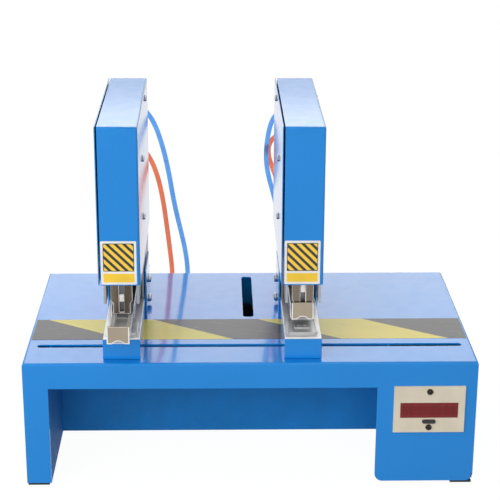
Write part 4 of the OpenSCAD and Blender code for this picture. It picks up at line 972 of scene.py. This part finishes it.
class STAPLER_OT_labels(bpy.types.Operator):
    """Put a plain striped card on the front of each head"""

    bl_idname = "stapler.labels"
    bl_label = "Labels"

    # Place of a card from the shell's left and lower edges
    inset = 0.0006
    rise = 0.0012
    card_corner = 0.0012
    corner_steps = 6
    # Printed fields
    border = 0.0026
    rim_w = 0.0008
    print_t = 0.00004
    print_corner = 0.0008
    field_corner = 0.0006
    bar_share = 0.2

    def card(self, name, x, y, z, w, h, t, radius, finish):
        """Upright card with rounded corners whose front face is at y - t."""
        bm = bmesh.new()
        outline = []
        for cx, cz, first in ((1, 1, 0), (-1, 1, 90), (-1, -1, 180), (1, -1, 270)):
            for k in range(self.corner_steps + 1):
                angle = math.radians(first + 90 * k / self.corner_steps)
                outline.append((x + cx * (w / 2 - radius) + radius * math.cos(angle),
                                z + cz * (h / 2 - radius) + radius * math.sin(angle)))
        back = [bm.verts.new((a, y, b)) for a, b in outline]
        front = [bm.verts.new((a, y - t, b)) for a, b in outline]
        bm.faces.new(back)
        bm.faces.new(front)
        for k in range(len(outline)):
            j = (k + 1) % len(outline)
            bm.faces.new((back[k], back[j], front[j], front[k]))
        bmesh.ops.recalc_face_normals(bm, faces=bm.faces)
        obj = from_bmesh(name, bm)
        coat(obj, finish)
        return obj

    def execute(self, context):
        sizes = context.scene.stapler_sizes
        w, h, t = sizes.label_w, sizes.label_h, sizes.label_t
        field_w = w - 2 * self.border
        bar_h = h * self.bar_share
        field_h = h - bar_h - 3 * self.border
        for side in SIDES:
            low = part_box(f"{side}_shell")[0]
            x = low[0] + self.inset + w / 2
            y = low[1]
            z = low[2] + self.rise + h / 2
            field_z = z + h / 2 - self.border - field_h / 2
            bar_z = z - h / 2 + self.border + bar_h / 2
            name = f"{side}_label"
            card = self.card(name, x, y, z, w, h, t, self.card_corner, "card")
            rim = self.card(name + ".rim", x, y - t, field_z, field_w, field_h,
                            self.print_t, self.print_corner, "black")
            field = self.card(name + ".field", x, y - t - self.print_t, field_z, field_w - 2 * self.rim_w,
                              field_h - 2 * self.rim_w, self.print_t, self.field_corner, "label_bars")
            bar = self.card(name + ".bar", x, y - t, bar_z, field_w, bar_h,
                            self.print_t, self.print_corner, "label_yellow")
            join_into(card, [rim, field, bar])
            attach(card, f"{side}_head")
        return {"FINISHED"}


class STAPLER_OT_back_fittings(bpy.types.Operator):
    """Finish the sockets and fittings on the back"""

    bl_idname = "stapler.back_fittings"
    bl_label = "Back fittings"

    shortest = 0.0015

    def execute(self, context):
        width = context.scene.stapler_sizes.plate_edge
        for node in ("hose_bulkheads", "air_inlet", "foot_socket", "power_inlet", "power_switch"):
            rounded_copy(node, width, self.shortest)
        return {"FINISHED"}


class STAPLER_OT_stage(bpy.types.Operator):
    """Set the floor, the light and the camera"""

    bl_idname = "stapler.stage"
    bl_label = "Stage"

    camera_place = (-0.03633, -1.61561, 0.79571)
    sensor = 36
    near = 0.05
    # The world's light: where it comes from, the range of facing that it changes over, and its least and most
    light_from = (-0.6, 0, 0.8)
    light_range = (-0.6, 0.9)
    light_shares = (0.15, 1.5)
    # The floor's half width, tone under light, glow, and the share of the glow where it is seen
    floor_half = 6
    floor_tone = (0.35, 0.35, 0.35, 1)
    floor_glow = 1.2
    floor_share = 0.8
    # Name, share of the key light's power, size, place, target, and whether it shows in reflections
    lamps = (
        ("key", 1.0, (3.4, 1.8), (-0.85, -1.9, 1.0), (0, 0, 0.15), False),
        ("back", 1.14, (6.0, 1.6), (0, 4.0, 2.18), (0, 0, 0.2), True),
        ("top", 0.09, (1.6, 1.2), (0.3, 0.1, 2.0), (0, 0.1, 0.2), True),
    )

    def seen(self, tree):
        """1 on camera, glossy and transmission rays."""
        path = tree.nodes.new("ShaderNodeLightPath")
        value = path.outputs["Is Camera Ray"]
        for ray in ("Is Glossy Ray", "Is Transmission Ray"):
            most = tree.nodes.new("ShaderNodeMath")
            most.operation = "MAXIMUM"
            tree.links.new(value, most.inputs[0])
            tree.links.new(path.outputs[ray], most.inputs[1])
            value = most.outputs[0]
        return value

    def world(self, scene, strength):
        """White where it is seen; its soft light comes mostly from the upper left."""
        world = bpy.data.worlds.new("studio")
        scene.world = world
        world.use_nodes = True
        tree = world.node_tree
        new = tree.nodes.new
        link_up = tree.links.new
        shade = tree.nodes["Background"]
        shade.inputs["Color"].default_value = (1, 1, 1, 1)
        place = new("ShaderNodeTexCoord")
        facing = new("ShaderNodeVectorMath")
        facing.operation = "DOT_PRODUCT"
        facing.inputs[1].default_value = self.light_from
        link_up(place.outputs["Generated"], facing.inputs[0])
        soft = new("ShaderNodeMapRange")
        soft.inputs["From Min"].default_value = self.light_range[0]
        soft.inputs["From Max"].default_value = self.light_range[1]
        soft.inputs["To Min"].default_value = strength * self.light_shares[0]
        soft.inputs["To Max"].default_value = strength * self.light_shares[1]
        link_up(facing.outputs["Value"], soft.inputs["Value"])
        level = new("ShaderNodeMapRange")
        level.inputs["To Max"].default_value = 1.0
        link_up(self.seen(tree), level.inputs["Value"])
        link_up(soft.outputs["Result"], level.inputs["To Min"])
        link_up(level.outputs["Result"], shade.inputs["Strength"])

    def floor(self):
        """White floor that keeps the machine's shadow."""
        bm = bmesh.new()
        bmesh.ops.create_grid(bm, x_segments=1, y_segments=1, size=self.floor_half)
        floor = from_bmesh("floor", bm)
        material = bpy.data.materials.new("white_floor")
        material.use_nodes = True
        tree = material.node_tree
        new = tree.nodes.new
        link_up = tree.links.new
        tree.nodes.clear()
        out = new("ShaderNodeOutputMaterial")
        lit = new("ShaderNodeBsdfDiffuse")
        lit.inputs["Color"].default_value = self.floor_tone
        glow = new("ShaderNodeEmission")
        glow.inputs["Color"].default_value = (1, 1, 1, 1)
        glow.inputs["Strength"].default_value = self.floor_glow
        mix = new("ShaderNodeMixShader")
        share = new("ShaderNodeMath")
        share.operation = "MULTIPLY"
        share.inputs[1].default_value = self.floor_share
        link_up(self.seen(tree), share.inputs[0])
        link_up(share.outputs[0], mix.inputs[0])
        link_up(lit.outputs[0], mix.inputs[1])
        link_up(glow.outputs[0], mix.inputs[2])
        link_up(mix.outputs[0], out.inputs["Surface"])
        floor.data.materials.append(material)

    def lamp(self, name, power, size, place, target, mirrored):
        """Soft box that isn't seen itself."""
        light = bpy.data.lights.new(name, "AREA")
        light.shape = "RECTANGLE"
        light.size, light.size_y = size
        light.energy = power
        obj = link(name, light)
        obj.location = place
        obj.visible_camera = False
        obj.visible_glossy = mirrored
        obj.rotation_euler = (Vector(target) - Vector(place)).to_track_quat("-Z", "Y").to_euler()

    def execute(self, context):
        scene = context.scene
        stage = scene.stapler_stage
        scene.view_settings.view_transform = "Standard"
        self.world(scene, stage.ambient)
        self.floor()
        for name, share, size, place, target, mirrored in self.lamps:
            self.lamp(name, stage.key * share, size, place, target, mirrored)
        data = bpy.data.cameras.new("camera")
        data.lens = stage.lens
        data.sensor_width = self.sensor
        data.clip_start = self.near
        camera = link("camera", data)
        level = math.cos(stage.pitch)
        ahead = Vector((math.sin(stage.yaw) * level, math.cos(stage.yaw) * level, -math.sin(stage.pitch)))
        right = Vector((math.cos(stage.yaw), -math.sin(stage.yaw), 0))
        up = right.cross(ahead)
        side = right * math.cos(stage.roll) + up * math.sin(stage.roll)
        top = up * math.cos(stage.roll) - right * math.sin(stage.roll)
        turn = Matrix((side, top, -ahead)).transposed().to_4x4()
        camera.matrix_world = Matrix.Translation(self.camera_place) @ turn
        scene.camera = camera
        return {"FINISHED"}


class STAPLER_PT_pieces(bpy.types.Panel):
    """Settings and pieces of the stapling machine"""

    bl_label = "Stapling machine"
    bl_idname = "STAPLER_PT_pieces"
    bl_space_type = "VIEW_3D"
    bl_region_type = "UI"
    bl_category = "Stapler"

    def draw(self, context):
        for group in (context.scene.stapler_finish, context.scene.stapler_sizes, context.scene.stapler_stage):
            box = self.layout.box()
            for name in group.__annotations__:
                box.prop(group, name)
        for operator in OPERATORS:
            self.layout.operator(operator.bl_idname)


OPERATORS = (
    STAPLER_OT_finishes, STAPLER_OT_stage, STAPLER_OT_hoses, STAPLER_OT_sheet_metal, STAPLER_OT_steelwork,
    STAPLER_OT_screws, STAPLER_OT_counter, STAPLER_OT_labels, STAPLER_OT_back_fittings,
)
CLASSES = (StaplerFinish, StaplerSizes, StaplerStage, *OPERATORS, STAPLER_PT_pieces)


def register():
    for cls in CLASSES:
        bpy.utils.register_class(cls)
    bpy.types.Scene.stapler_finish = bpy.props.PointerProperty(type=StaplerFinish)
    bpy.types.Scene.stapler_sizes = bpy.props.PointerProperty(type=StaplerSizes)
    bpy.types.Scene.stapler_stage = bpy.props.PointerProperty(type=StaplerStage)


def unregister():
    del bpy.types.Scene.stapler_stage
    del bpy.types.Scene.stapler_sizes
    del bpy.types.Scene.stapler_finish
    for cls in reversed(CLASSES):
        bpy.utils.unregister_class(cls)


def main():
    register()
    bpy.ops.stapler.finishes()
    bpy.ops.stapler.stage()
    bpy.ops.stapler.hoses()
    bpy.ops.stapler.sheet_metal()
    bpy.ops.stapler.steelwork()
    bpy.ops.stapler.screws()
    bpy.ops.stapler.counter()
    bpy.ops.stapler.labels()
    bpy.ops.stapler.back_fittings()


if __name__ == "__main__":
    main()
